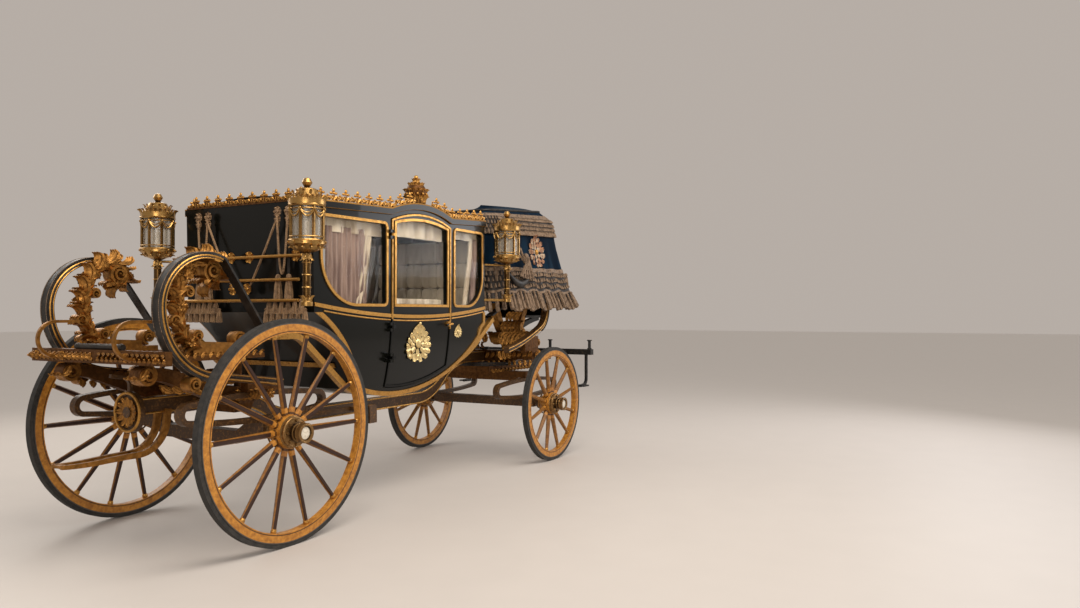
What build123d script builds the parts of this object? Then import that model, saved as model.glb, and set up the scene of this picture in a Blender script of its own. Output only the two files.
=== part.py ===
from build123d import *
import math
import os

# A horse-drawn state coach on C-springs: closed body slung on leather braces,
# draped box seat, footmen's platform, steered fore-carriage and wooden wheels.
# Millimetres. X forward, Y to the left, Z up. The origin is on the floor,
# midway between the axles, on the centre plane.

os.makedirs("parts", exist_ok=True)

# Further than any piece reaches
FAR = 4000.0

# Wheels and axles
WHEELBASE = 3440.0
TRACK = 1580.0
REAR_WHEEL_DIAMETER = 1400.0
FRONT_WHEEL_DIAMETER = 1100.0
REAR_SPOKES = 14
FRONT_SPOKES = 12
TYRE_WIDTH = 46.0
TYRE_THICKNESS = 26.0
FELLOE_DEPTH = 62.0
FELLOE_WIDTH = 52.0
SPOKE_ROOT = 46.0
SPOKE_TIP = 30.0
WHEEL_DISH = 26.0
NAVE_IN = TRACK / 2 - 121
NAVE_RADIUS = 104.0
NAVE_LENGTH = 135.0
NAVE_END_RADIUS = 70.0
HUB_RADIUS = 95.0
HUB_DRUM = 34.0
HUB_NECK_RADIUS = 52.0
HUB_LENGTH = 88.0
HUB_CAP_RADIUS = 62.0
HUB_CAP_LENGTH = 34.0
HUB_CAP_WALL = 18.0
AXLE_END = TRACK / 2 + 70
AXLE_ARM_RADIUS = 30.0
AXLE_ARM_FIT = 0.08
AXLE_END_GAP = 3.0
AXLE_COLLAR_RADIUS = 56.0
AXLE_COLLAR_LENGTH = 26.0

# Body shell, in side view and in plan
BODY_REAR_X = -1370.0
BODY_FRONT_X = 744.0
BODY_REAR_TOP_Z = 2150.0
BODY_FRONT_TOP_Z = 2205.0
DOOR_REAR_X = -596.0
DOOR_FRONT_X = 185.0
DOOR_SPRING_Z = 2172.0
DOOR_ARCH_Z = 2242.0
BELT_Z = 1440.0
REAR_TURN_X = -905.0
REAR_TURN_Z = 884.0
REAR_TURN_RADIUS = 990.0
KEEL_X = -420.0
KEEL_Z = 803.0
KEEL_FRONT_RADIUS = 1600.0
KEEL_REAR_RADIUS = 1500.0
FRONT_TURN_X = 660.0
FRONT_TURN_RADIUS = 130.0
FRONT_TURN_RISE = 110.0
BODY_HALF_WIDTH = 665.0
BOW_X = -310.0
BOW_RADIUS = 15000.0
TURN_UNDER_RADIUS = 2200.0
WALL = 36.0
SILL = 62.0
SILL_TOP_Z = 1240.0
HEADER = 30.0
END_PANEL_HALF_WIDTH = BODY_HALF_WIDTH - 125
DOOR_GAP = 6.0
ROOF_EDGE = 44.0
ROOF_OVERHANG = 18.0
ROOF_CROWN = 72.0

# Windows: each is low x, high x, sill z, head z, big corner radius, which corner
WINDOW_SILL_Z = 1502.0
WINDOW_CORNER = 26.0
REAR_WINDOW = dict(low_x=-1286.0, high_x=-652.0, head_z=2092.0, sweep=330.0)
FRONT_WINDOW = dict(low_x=243.0, high_x=688.0, head_z=2124.0, sweep=250.0)
DOOR_STILE = 58.0
DOOR_WINDOW_HEAD = 62.0
FRONT_LIGHT_HALF_WIDTH = 420.0
FRONT_LIGHT_HEAD_Z = 2080.0
GLASS = 6.0
GLASS_DEPTH = 15.0

# Mouldings stand proud of the panels
MOULDING_PROUD = 9.0
BOTTOM_MOULDING = 34.0
BELT_MOULDING = 26.0
WINDOW_MOULDING = 20.0
DOOR_MOULDING = 14.0
BELT_SAG_RADIUS = 6900.0
BELT_MID_X = -260.0
BELT_MID_Z = 1407.0
REAR_BAR_Z = 1040.0
REAR_BAR_HALF = 470.0

# Door furniture
HINGE_X = -597.0
HINGE_Y = BODY_HALF_WIDTH + 19
HINGE_Z = [1090.0, 1320.0, 2010.0]
HINGE_RADIUS = 9.0
HINGE_PIN = 4.0
HINGE_FIT = 0.08
HINGE_LEAF = 22.0
HINGE_PLATE = 32.0
HINGE_END_GAP = 1.0
HANDLE_IN = 46.0
HANDLE_Z = 1345.0
HANDLE_OUT = 44.0
HANDLE_LENGTH = 78.0

# Roof gallery
PALMETTE_WIDTH = 58.0
PALMETTE_HEIGHT = 62.0
PALMETTE_PITCH = 116.0
PALMETTE_THICKNESS = 8.0
GALLERY_RAIL = 14.0
CROWN_RADIUS = 88.0
CROWN_HEIGHT = 190.0

# Seats in the cabin
SEATS = [
    # cushion from, to, box from, to
    (BODY_REAR_X + 80, BODY_REAR_X + 620, BODY_REAR_X + 210, BODY_REAR_X + 580),
    (BODY_FRONT_X - 580, BODY_FRONT_X - 60, BODY_FRONT_X - 540, BODY_FRONT_X - 120),
]
SEAT_Z = 1240.0
SEAT_BOX_Z = 1040.0
CUSHION = 140.0

# C-springs: the path of the leaves in side view, then how thick they are
SPRING_Y = 530.0
SPRING_WIDTH = 60.0
SPRING_ROOT = 56.0
SPRING_TIP = 26.0
REAR_SPRING_START = (-1560.0, 985.0)
REAR_SPRING_RUNS = [(532.0, 0.0), (594.0, -82.0), (572.0, -110.0)]
FRONT_SPRING_START = (1280.0, 1082.0)
FRONT_SPRING_RUNS = [(340.0, 8.0), (330.0, 6.0), (260.0, 66.0), (430.0, 110.0)]
BRACE = 14.0
BRACE_WIDTH = 72.0
REAR_BRACE_TAIL = [(26.0, -34.0), (596.0, 0.0)]
FRONT_BRACE_TAIL = [(26.0, 2.0), (790.0, 0.0)]
LOOP_WIDTH = 46.0
LOOP_BAR = 40.0
REAR_LOOP_START = (-1700.0, 1283.0)
REAR_LOOP_RUNS = [(240.0, 0.0), (110.0, -40.0), (480.0, 0.0), (130.0, 20.0)]
FRONT_LOOP_START = (1020.0, 1380.0)
FRONT_LOOP_RUNS = [(315.0, 0.0), (420.0, -22.0), (120.0, -10.0)]

# Elliptic springs between the axles and the beds, one over each axle end
UNDER_SPRING_Y = 500.0
UNDER_SPRING_WIDTH = 54.0
UNDER_SPRING_HALF = 590.0
REAR_SEAT_Z = 942.0
FRONT_SEAT_Z = 792.0
UNDER_SPRING_LEAF = 34.0
UNDER_SPRING_EYE = 0.7

# Perch, beds and axles
PERCH_WIDTH = 76.0
PERCH_DEPTH = 96.0
PERCH_START = (-2240.0, 862.0)
PERCH_RUNS = [
    (640.0, 0.0), (381.0, -30.0), (381.0, 30.0), (1420.0, 0.0), (442.0, 45.0), (442.0, -45.0), (450.0, 0.0)]
AXLE_BAR = 84.0
REAR_AXLE_DROP = 60.0
AXLE_CRANK = 90.0
BED_HALF = TRACK / 2 - 190
BED_LENGTH = 130.0
BED_CHAMFER = 80.0
REAR_BED_LOW_Z = 800.0
REAR_BED_TOP_Z = 957.0
SPRING_SEAT_LENGTH = 260.0
TRANSOM_LOW_Z = 945.0
TRANSOM_TOP_Z = 1060.0
PLATE_OUTER_RADIUS = 350.0
PLATE_INNER_RADIUS = 296.0
PLATE_THICKNESS = 14.0
PLATE_GAP = 5.0
KING_BOLT_RADIUS = 24.0
KING_BOLT_FIT = 0.08
KING_BOLT_HEAD = 46.0
KING_BOLT_REACH = 800.0
STEER_X = WHEELBASE / 2

# Corbels and posts under the footmen's platform
CORBEL_Y = 360.0
CORBEL_WIDTH = 74.0
CORBEL_ROOT = 130.0
CORBEL_TIP = 70.0
CORBEL_RUNS = [(300.0, -20.0), (330.0, 0.0), (160.0, 30.0)]
SCROLL_RADIUS = 56.0
SCROLL_PROUD = 8.0
POST_Y = 300.0
POST_RADIUS = 26.0

# Brake gear
BRAKE_SHOE_GAP = 8.0
BRAKE_SHOE = 74.0
BRAKE_SHOE_WIDTH = 60.0
BRAKE_SHOE_HEIGHT = 124.0
BRAKE_SHOE_DROP = 30.0
BRAKE_ARM = 30.0

# Fore-carriage
WASHER = 6.0
FUTCHELL_Y = 230.0
FUTCHELL_WIDTH = 56.0
FUTCHELL_DEPTH = 60.0
FUTCHELL_REAR_X = 1400.0
FUTCHELL_RUNS = [(700.0, 0.0), (150.0, 11.0), (230.0, 0.0), (150.0, -11.0), (60.0, 0.0)]
FORE_BED_DEPTH = 92.0
SPLINTER_HALF = TRACK / 2 + 10
SPLINTER_LENGTH = 70.0
SPLINTER_DEPTH = 60.0
SPLINTER_X = 2607.0
ROLLER_BOLTS = [30 - SPLINTER_HALF, -290.0, 290.0, SPLINTER_HALF - 30]
ROLLER_BOLT_RADIUS = 16.0
ROLLER_BOLT_HEIGHT = 88.0
POLE_Z = 929.0
POLE_BORE_RADIUS = 38.0
POLE_SOCKET = 112.0
POLE_SOCKET_LENGTH = 330.0
END_X = 2700.0
FUTCHELL_CROSS = 60.0
ROLLER_FLANGE = 12.0
STEP_IRON = 26.0
STEP_IRON_RUNS = [(250.0, 0.0), (90.0, -80.0), (100.0, -10.0)]
STEP_TREAD = 110.0
STEP_THICKNESS = 16.0

# Rear platform, guards and step
PLATFORM_REAR_X = -2440.0
PLATFORM_FRONT_X = -1640.0
PLATFORM_HALF = 478.0
PLATFORM_Z = 1150.0
PLATFORM_THICKNESS = 30.0
REAR_BOARD = 46.0
REAR_BOARD_HALF = 630.0
REAR_BOARD_DEPTH = 80.0
REAR_BOARD_DROP = 10.0
GUARD_Y = 360.0
GUARD_ROD = 18.0
GUARD_START = (-2353.0, 1384.0)
GUARD_RUNS = [(150.0, 0.0), (330.0, 180.0), (60.0, 0.0)]
BOSS_Z = 832.0
BOSS_RADIUS = 124.0
BOSS_THICKNESS = 34.0
BOSS_HOLLOW = 104.0
BOSS_HUB = 34.0
BOSS_RAISE = 8.0
HOOK_ROD = 22.0
HOOK_RUNS = [(60.0, 0.0), (70.0, 80.0), (90.0, 0.0)]
STANDARD_Y = 445.0
STANDARD_WIDTH = 60.0
STANDARD_START = (-1885.0, 1214.0)
STANDARD_RUNS = [
    (200.0, 0.0), (260.0, -75.0), (300.0, -40.0), (230.0, -90.0), (120.0, -130.0), (60.0, -60.0)]
STANDARD_ROOT = 76.0
STANDARD_TIP = 34.0
STANDARD_FOOT_X = -1760.0
STANDARD_FOOT = 420.0
STEP_START = (-2030.0, 834.0)
STEP_RUNS = [(80.0, 0.0), (297.0, -85.0), (235.0, 3.0), (235.0, -8.0)]
STEP_ROOT = 46.0
STEP_TIP = 24.0
STEP_BAR_Y = 34.0
STEP_RUNG = 16.0
RAIL_X = -1425.0
RAIL_RADIUS = 11.0
RAILS = [(1820.0, 590.0), (1660.0, 560.0), (1520.0, 560.0)]
HOLDER = 12.0
HOLDER_YS = [-490.0, -345.0, 345.0, 490.0]
HOLDER_WIDTH = 68.0
HOLDER_LOW_Z = 1520.0
HOLDER_TOP_Z = 2120.0
TASSEL = 146.0
TASSEL_RADIUS = 30.0

# Lamps: x, distance from the centre plane, foot z
REAR_LAMP = dict(x=-1530.0, y=BODY_HALF_WIDTH + 71, foot_z=REAR_WHEEL_DIAMETER + 80, pillar_x=-1362.0)
FRONT_LAMP = dict(x=989.0, y=BODY_HALF_WIDTH + 49, foot_z=1535.0, pillar_x=736.0)
LAMP_RADIUS = 118.0
LAMP_POST_RADIUS = 26.0
LAMP_POST = 340.0
LAMP_FUNNEL = 75.0
LAMP_GLASS = 235.0
LAMP_HOOD = 145.0
LAMP_BALL_RADIUS = 34.0
LAMP_FACES = 8
LAMP_ARM_RADIUS = 9.0
LAMP_BAR = 14.0

# Box seat and its hanging
CLOTH_SECTIONS = [
    # rear x, front x, half-width, rear z, front z, corner radius
    (985.0, 2600.0, 690.0, 1440.0, 1440.0, 90.0),
    (1035.0, 2320.0, 500.0, 2330.0, 2400.0, 110.0),
    (1110.0, 2180.0, 420.0, 2410.0, 2505.0, 80.0),
]
CLOTH = 16.0
SEAT_FRAME_Z = 1880.0
SEAT_LOW_X = 1105.0
SEAT_HIGH_X = 2130.0
SEAT_HALF = 360.0
BOX_STANDARD_Y = 300.0
LEG_STEP = 30.0
LEG_ROOT = 90.0
LEG_TIP = 60.0
LEG_WIDTH = 70.0
LEG_REACH = SEAT_FRAME_Z - 900.0
REAR_LEG_RUNS = [(260.0, 20.0), (400.0, -50.0), (LEG_REACH - 660.0, 10.0)]
FRONT_LEG_RUNS = [(260.0, -16.0), (400.0, 40.0), (LEG_REACH - 660.0, -10.0)]
TOE_BOARD_HALF = 340.0
TOE_BOARD = 26.0
TOE_START = (1980.0, 1396.0)
TOE_RUNS = [(310.0, 0.0), (150.0, 75.0), (180.0, 0.0)]
BEARER_OUT = 90.0
BEARER_DROP = 112.0
BEARER_ROOT = 56.0
BEARER_TIP = 40.0
BEARER_WIDTH = 50.0
BEARER_RUNS = [(160.0, 18.0), (330.0, -12.0)]


def point(x, z):
    """A point of the side view."""
    return Vector(x, z, 0)


def across(face, low_y, high_y):
    """Extrudes a side view outline across the coach."""
    return extrude(Plane.XZ.offset(-high_y) * face, high_y - low_y)


def along(face, low_x, high_x):
    """Extrudes an end view outline, drawn as across and up, along the coach."""
    return extrude(Plane.YZ.offset(low_x) * face, high_x - low_x)


def biggest(shape):
    """The largest solid of a shape that was cut."""
    return max(shape.solids(), key=lambda s: s.volume)


def less(shape, tools):
    """A shape with several others cut away, its largest piece kept."""
    for tool in tools:
        shape = shape - tool
    return biggest(shape)


def fused(pieces):
    """Several pieces joined in one."""
    whole = pieces[0]
    for piece in pieces[1:]:
        whole = whole + piece
    return whole


def both_sides(solid):
    """A piece and its mirror image on the other side."""
    return [solid, mirror(solid, Plane.XZ)]


def block(low, high):
    """A box between two corners."""
    size = [b - a for a, b in zip(low, high)]
    middle = [(a + b) / 2 for a, b in zip(low, high)]
    return Pos(*middle) * Box(*size)


def rod_y(x, z, low_y, high_y, radius):
    """A round bar across the coach."""
    return Pos(x, (low_y + high_y) / 2, z) * Rot(90, 0, 0) * Cylinder(radius, high_y - low_y)


def save(name, *solids):
    """Writes one node, of one solid or of several that stand apart."""
    pieces = [s for solid in solids for s in (solid if isinstance(solid, list) else [solid])]
    found = [s for piece in pieces for s in piece.solids()]
    shape = found[0] if len(found) == 1 else Compound(found)
    export_step(shape, f"parts/{name}.step")
    return shape


def stations(start, heading, runs):
    """Points along lines and arcs: place, direction and distance at the ends
    and middle of each run, given as its length and its turn in degrees."""
    x, z = start
    angle = math.radians(heading)
    distance = 0.0
    found = [(x, z, angle, distance)]
    for length, turn in runs:
        part = length / 2
        swing = math.radians(turn) / 2
        chord = part if not swing else part * math.sin(swing / 2) / (swing / 2)
        for _ in range(2):
            x += chord * math.cos(angle + swing / 2)
            z += chord * math.sin(angle + swing / 2)
            angle += swing
            distance += part
            found.append((x, z, angle, distance))
    return found


def ribbon(path, runs, low, high, first=0):
    """The outline between two offsets to the left of a path. Each offset is its
    value at the path's start and at its end; first skips runs at the start."""
    total = sum(length for length, _ in runs)
    edges = []
    ends = []
    for start_offset, end_offset in (low, high):
        side = []
        for x, z, angle, distance in path[2 * first:]:
            left = start_offset + (end_offset - start_offset) * distance / total
            side.append(point(x - left * math.sin(angle), z + left * math.cos(angle)))
        for index, (_, turn) in enumerate(runs[first:]):
            a, b, c = side[2 * index:2 * index + 3]
            edges.append(ThreePointArc(a, b, c) if turn else Line(a, c))
        ends.append((side[0], side[-1]))
    edges += [Line(a, b) for a, b in zip(*ends)]
    return make_face(edges)


def strip(start, heading, runs, width_start, width_end):
    """The outline of a bar that bends along lines and arcs and tapers evenly."""
    path = stations(start, heading, runs)
    low = (-width_start / 2, -width_end / 2)
    high = (width_start / 2, width_end / 2)
    return ribbon(path, runs, low, high)


def beside(face, middle_y, width):
    """The same bar on both sides of the coach, each width wide."""
    return both_sides(across(face, middle_y - width / 2, middle_y + width / 2))


def rod(a, b, radius):
    """A round bar between two points."""
    start, end = Vector(*a), Vector(*b)
    run = end - start
    plane = Plane(origin=start, z_dir=run.normalized())
    return extrude(plane * Circle(radius), run.length)


def turned(profile, centre):
    """A turned piece on a vertical axis: radius and height pairs from the foot."""
    low, high = profile[0][1], profile[-1][1]
    corners = [(0, low)] + [p for p in profile if p[0] > 0] + [(0, high)]
    edges = [Line(Vector(r, 0, h), Vector(s, 0, k)) for (r, h), (s, k) in zip(corners, corners[1:])]
    edges.append(Line(Vector(0, 0, high), Vector(0, 0, low)))
    return Pos(*centre) * revolve(make_face(edges), Axis.Z)


def top_edge(lift):
    """The cornice line in side view, arched over the door, raised by lift."""
    door_middle = (DOOR_REAR_X + DOOR_FRONT_X) / 2
    rear = point(BODY_REAR_X, BODY_REAR_TOP_Z + lift)
    door_rear = point(DOOR_REAR_X, DOOR_SPRING_Z + lift)
    crown = point(door_middle, DOOR_ARCH_Z + lift)
    door_front = point(DOOR_FRONT_X, DOOR_SPRING_Z + lift)
    front = point(BODY_FRONT_X, BODY_FRONT_TOP_Z + lift)
    return [Line(rear, door_rear), ThreePointArc(door_rear, crown, door_front), Line(door_front, front)]


def keel_z(x):
    """Height of the boat-shaped bottom at x."""
    radius = KEEL_FRONT_RADIUS if x > KEEL_X else KEEL_REAR_RADIUS
    return KEEL_Z + radius - math.sqrt(radius ** 2 - (x - KEEL_X) ** 2)


def body_outline():
    """The body in side view: cornice, boat-shaped bottom and rounded ends."""
    rear_low = point(REAR_TURN_X, keel_z(REAR_TURN_X))
    keel = point(KEEL_X, KEEL_Z)
    front_low = point(FRONT_TURN_X, keel_z(FRONT_TURN_X))
    front_up = point(BODY_FRONT_X, keel_z(FRONT_TURN_X) + FRONT_TURN_RISE)
    rear_belt = point(BODY_REAR_X + 18, BELT_Z)
    half_rear = (REAR_TURN_X + KEEL_X) / 2
    half_front = (FRONT_TURN_X + KEEL_X) / 2
    bottom = [
        Line(point(BODY_REAR_X, BODY_REAR_TOP_Z), rear_belt),
        RadiusArc(rear_belt, rear_low, REAR_TURN_RADIUS),
        ThreePointArc(rear_low, point(half_rear, keel_z(half_rear)), keel),
        ThreePointArc(keel, point(half_front, keel_z(half_front)), front_low),
        RadiusArc(front_low, front_up, FRONT_TURN_RADIUS),
        Line(front_up, point(BODY_FRONT_X, BODY_FRONT_TOP_Z)),
    ]
    return make_face(top_edge(0) + bottom)


def half_hull(inset):
    """The left half of the body's plan and turn-under, walls moved in by inset."""
    half = BODY_HALF_WIDTH - inset
    turn = TURN_UNDER_RADIUS - inset
    centre = BODY_HALF_WIDTH - TURN_UNDER_RADIUS
    low_z, high_z = 600.0, 2600.0
    drop = BELT_Z - low_z

    def on_turn(below):
        return Vector(0, centre + math.sqrt(turn ** 2 - below ** 2), BELT_Z - below)
    corners = [
        Vector(0, -40, low_z), Vector(0, -40, high_z), Vector(0, half, high_z), Vector(0, half, BELT_Z)]
    edges = [Line(a, b) for a, b in zip(corners, corners[1:])]
    edges.append(ThreePointArc(corners[-1], on_turn(drop / 2), on_turn(drop)))
    edges.append(Line(on_turn(drop), corners[0]))
    face = Pos(BOW_X, 0, 0) * make_face(edges)
    axis = Axis((BOW_X, BODY_HALF_WIDTH - BOW_RADIUS, 0), (0, 0, 1))
    reach = 5.0
    solid = revolve(face, axis, reach * 2).rotate(axis, -reach)
    return solid & block((-FAR, 0, 0), (FAR, FAR, FAR))


def hull(inset):
    """Both halves of the hull."""
    left = half_hull(inset)
    return left + mirror(left, Plane.XZ)


def window_outline(low_x, high_x, head_z, sweep, sweep_at_rear):
    """A quarter window with one wide-swept lower corner."""
    sill_z = WINDOW_SILL_Z
    small = WINDOW_CORNER
    width = high_x - low_x
    height = head_z - sill_z
    pane = Pos((low_x + high_x) / 2, (sill_z + head_z) / 2) * Rectangle(width, height)
    corners = pane.vertices().sort_by(Axis.Y)
    low_corners = corners[:2].sort_by(Axis.X)
    swept = low_corners[0] if sweep_at_rear else low_corners[1]
    others = [v for v in pane.vertices() if v != swept]
    pane = fillet(swept, sweep)
    near = [v for v in pane.vertices() if any((v.center() - o.center()).length < 1 for o in others)]
    return fillet(near, small)


def door_window_outline():
    """The door's window, with an arched head."""
    low_x, high_x = DOOR_REAR_X + DOOR_STILE, DOOR_FRONT_X - DOOR_STILE
    spring_z = DOOR_SPRING_Z - DOOR_WINDOW_HEAD
    crown_z = DOOR_ARCH_Z - DOOR_WINDOW_HEAD - HEADER
    corners = [
        point(low_x, spring_z), point(low_x, WINDOW_SILL_Z),
        point(high_x, WINDOW_SILL_Z), point(high_x, spring_z)]
    edges = [Line(a, b) for a, b in zip(corners, corners[1:])]
    edges.append(ThreePointArc(corners[0], point((low_x + high_x) / 2, crown_z), corners[-1]))
    return make_face(edges)


def rectangle(low_x, high_x, low_z, high_z):
    """An upright rectangle in side view."""
    return Pos((low_x + high_x) / 2, (low_z + high_z) / 2) * Rectangle(high_x - low_x, high_z - low_z)


def door_outline(gap):
    """The doorway in side view, moved in by gap: it follows keel and cornice."""
    sides = rectangle(DOOR_REAR_X + gap, DOOR_FRONT_X - gap, KEEL_Z, DOOR_ARCH_Z)
    outline = body_outline()
    lower = offset(outline, -SILL - gap, kind=Kind.INTERSECTION)
    upper = offset(outline, -HEADER - gap, kind=Kind.INTERSECTION)
    high_half = rectangle(BODY_REAR_X, BODY_FRONT_X, BELT_Z, DOOR_ARCH_Z)
    return sides & (lower + (upper & high_half))


def quarter_windows():
    """The two quarter windows of one side."""
    rear = window_outline(sweep_at_rear=True, **REAR_WINDOW)
    front = window_outline(sweep_at_rear=False, **FRONT_WINDOW)
    return [rear, front]


def body_nodes():
    """The closed body: bottom, end panels, side panels, doors and glass."""
    outline = body_outline()
    outer_half = half_hull(0)
    inner_half = half_hull(WALL)
    whole = outer_half + mirror(outer_half, Plane.XZ)
    hollow = inner_half + mirror(inner_half, Plane.XZ)
    reach = BODY_HALF_WIDTH + 100
    open_top = rectangle(BODY_REAR_X + WALL, BODY_FRONT_X - WALL, BELT_Z, DOOR_ARCH_Z + WALL)
    room = across(offset(outline, -WALL, kind=Kind.INTERSECTION) + open_top, -reach, reach) & hollow
    outer = across(outline, -reach, reach) & whole
    shell = outer - room
    sill_face = (outline - offset(outline, -SILL, kind=Kind.INTERSECTION)) & rectangle(
        BODY_REAR_X, BODY_FRONT_X, KEEL_Z - SILL, SILL_TOP_Z)
    sill = across(sill_face, -reach, reach)
    bottom = shell & sill
    upper = shell - sill
    end = END_PANEL_HALF_WIDTH
    back = upper & block((BODY_REAR_X - 1, -end, KEEL_Z), (DOOR_REAR_X - WALL, end, DOOR_ARCH_Z))
    front = upper & block((DOOR_FRONT_X + WALL, -end, KEEL_Z), (BODY_FRONT_X + 1, end, DOOR_ARCH_Z))
    light = block((DOOR_FRONT_X + WALL, -FRONT_LIGHT_HALF_WIDTH, WINDOW_SILL_Z),
                  (BODY_FRONT_X + 1, FRONT_LIGHT_HALF_WIDTH, FRONT_LIGHT_HEAD_Z))
    left_half = block((BODY_REAR_X - 1, end, KEEL_Z), (BODY_FRONT_X + 1, reach, DOOR_ARCH_Z))
    left = (upper & left_half) - across(door_outline(0), end, reach)
    windows = [across(face, end, reach) for face in quarter_windows()]
    door_window = across(door_window_outline(), end, reach)
    door = shell & across(door_outline(DOOR_GAP), end, reach)
    pane_skin = half_hull(GLASS_DEPTH) - half_hull(GLASS_DEPTH + GLASS)
    for window in windows:
        left = left - window
    door = door - door_window
    door_glass = pane_skin & door_window
    panes = [pane_skin & window for window in windows]
    front_pane = light & block(
        (BODY_FRONT_X - GLASS_DEPTH - GLASS, -end, 0), (BODY_FRONT_X - GLASS_DEPTH, end, FAR))
    save("body_bottom", bottom)
    save("body_back_panel", back)
    save("body_front_panel", front - light)
    save("side_panel_left", left)
    save("side_panel_right", mirror(left, Plane.XZ))
    save("body_glass", *[both_sides(pane) for pane in panes], front_pane)
    return outer, door, door_glass


def moulding_nodes():
    """Gilt mouldings of the body and of one door, standing proud of the skin."""
    outline = body_outline()
    skin = half_hull(-MOULDING_PROUD) - half_hull(0)
    low_y, high_y = END_PANEL_HALF_WIDTH - 60, BODY_HALF_WIDTH + 60
    low_edge = outline - offset(outline, -BOTTOM_MOULDING, kind=Kind.INTERSECTION)
    low_edge = low_edge & rectangle(BODY_REAR_X, BODY_FRONT_X, KEEL_Z - 1, BELT_Z)
    belt_centre_z = BELT_MID_Z + BELT_SAG_RADIUS
    belt_ring = Pos(BELT_MID_X, belt_centre_z) * (
        Circle(BELT_SAG_RADIUS + BELT_MOULDING / 2) - Circle(BELT_SAG_RADIUS - BELT_MOULDING / 2))
    belt = belt_ring & rectangle(BODY_REAR_X, BODY_FRONT_X, BELT_Z - 200, BELT_Z + 200) & outline
    doorway = door_outline(DOOR_GAP)
    doorway_wide = door_outline(0)
    body_faces = [low_edge - doorway_wide, belt - doorway_wide]
    for pane in quarter_windows():
        body_faces.append(offset(pane, WINDOW_MOULDING) - pane)
    body_trim = [skin & across(face, low_y, high_y) for face in body_faces]
    joined = body_trim[0] + body_trim[1]
    sides = [joined] + body_trim[2:]
    rear_band = offset(outline, MOULDING_PROUD) - outline
    rear_band = rear_band & rectangle(
        BODY_REAR_X - 100, BODY_REAR_X + 400, REAR_BAR_Z, REAR_BAR_Z + BOTTOM_MOULDING)
    rear_bar = across(rear_band, -REAR_BAR_HALF, REAR_BAR_HALF)
    save("body_mouldings", *[both_sides(piece) for piece in sides], rear_bar)
    pane = door_window_outline()
    door_edge = doorway - offset(doorway, -DOOR_MOULDING, kind=Kind.INTERSECTION)
    window_edge = offset(pane, WINDOW_MOULDING, kind=Kind.INTERSECTION) - pane
    face = door_edge + (belt & doorway) + window_edge
    return skin & across(face, low_y, high_y)


def hinge_leaf(z, toward):
    """The plate that carries a hinge barrel: behind the pin, or in front of it."""
    low_x, high_x = sorted((HINGE_X, HINGE_X + toward * HINGE_PLATE))
    return block((low_x, END_PANEL_HALF_WIDTH, z), (high_x, HINGE_Y, z + HINGE_LEAF))


def hinge_parts(outer):
    """The door's barrels, bored for the pin, and the fixed barrels with pins."""
    moving = []
    fixed = []
    for z in HINGE_Z:
        barrel = Pos(HINGE_X, HINGE_Y, z + HINGE_LEAF / 2) * Cylinder(HINGE_RADIUS, HINGE_LEAF)
        bore = Pos(HINGE_X, HINGE_Y, z + HINGE_LEAF / 2) * Cylinder(HINGE_PIN + HINGE_FIT, HINGE_LEAF * 3)
        leaf = hinge_leaf(z, 1) & block((DOOR_REAR_X + DOOR_GAP, 0, 0), (DOOR_FRONT_X, FAR, FAR))
        neck = block((HINGE_X, HINGE_Y - 5, z), (HINGE_X + HINGE_PLATE, HINGE_Y + 5, z + HINGE_LEAF))
        moving.append(barrel + (leaf + neck - outer) - bore)
        pin = Pos(HINGE_X, HINGE_Y, z + HINGE_LEAF / 2) * Cylinder(HINGE_PIN, HINGE_LEAF * 3)
        for offset_z in (-HINGE_LEAF - HINGE_END_GAP, HINGE_LEAF + HINGE_END_GAP):
            low = z + offset_z
            ear = Pos(HINGE_X, HINGE_Y, low + HINGE_LEAF / 2) * Cylinder(HINGE_RADIUS, HINGE_LEAF)
            plate = hinge_leaf(low, -1) & block((BODY_REAR_X, 0, 0), (DOOR_REAR_X - 2, FAR, FAR))
            neck = block(
                (HINGE_X - HINGE_PLATE, HINGE_Y - 5, low), (HINGE_X, HINGE_Y + 5, low + HINGE_LEAF))
            pin = pin + ear + (plate + neck - outer)
        fixed.append(pin)
    return moving, fixed


def door_handle():
    """A turning handle near the door's front edge."""
    x, z = DOOR_FRONT_X - HANDLE_IN, HANDLE_Z
    y = BODY_HALF_WIDTH - 30
    stem = rod_y(x, z, y, BODY_HALF_WIDTH + HANDLE_OUT, 9)
    rose = rod_y(x, z, y, BODY_HALF_WIDTH + 12, 22)
    lever_y = BODY_HALF_WIDTH + HANDLE_OUT - 6
    lever = rod((x + 12, lever_y, z), (x - HANDLE_LENGTH, lever_y, z - 8), 8)
    return stem + rose + lever


def door_nodes(door, door_glass, trim, outer):
    """Both doors, with hinge barrels at the rear edge and a handle in front."""
    moving, fixed = hinge_parts(outer)
    save("door_hinges", *[both_sides(piece) for piece in fixed])
    handle = door_handle() - outer
    for piece in moving:
        trim = trim + piece
    trim = trim + max(handle.solids(), key=lambda s: s.volume)
    for part, shape in (("", door), ("_glass", door_glass), ("_trim", trim)):
        save(f"door_left{part}", shape)
        save(f"door_right{part}", mirror(shape, Plane.XZ))


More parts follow.
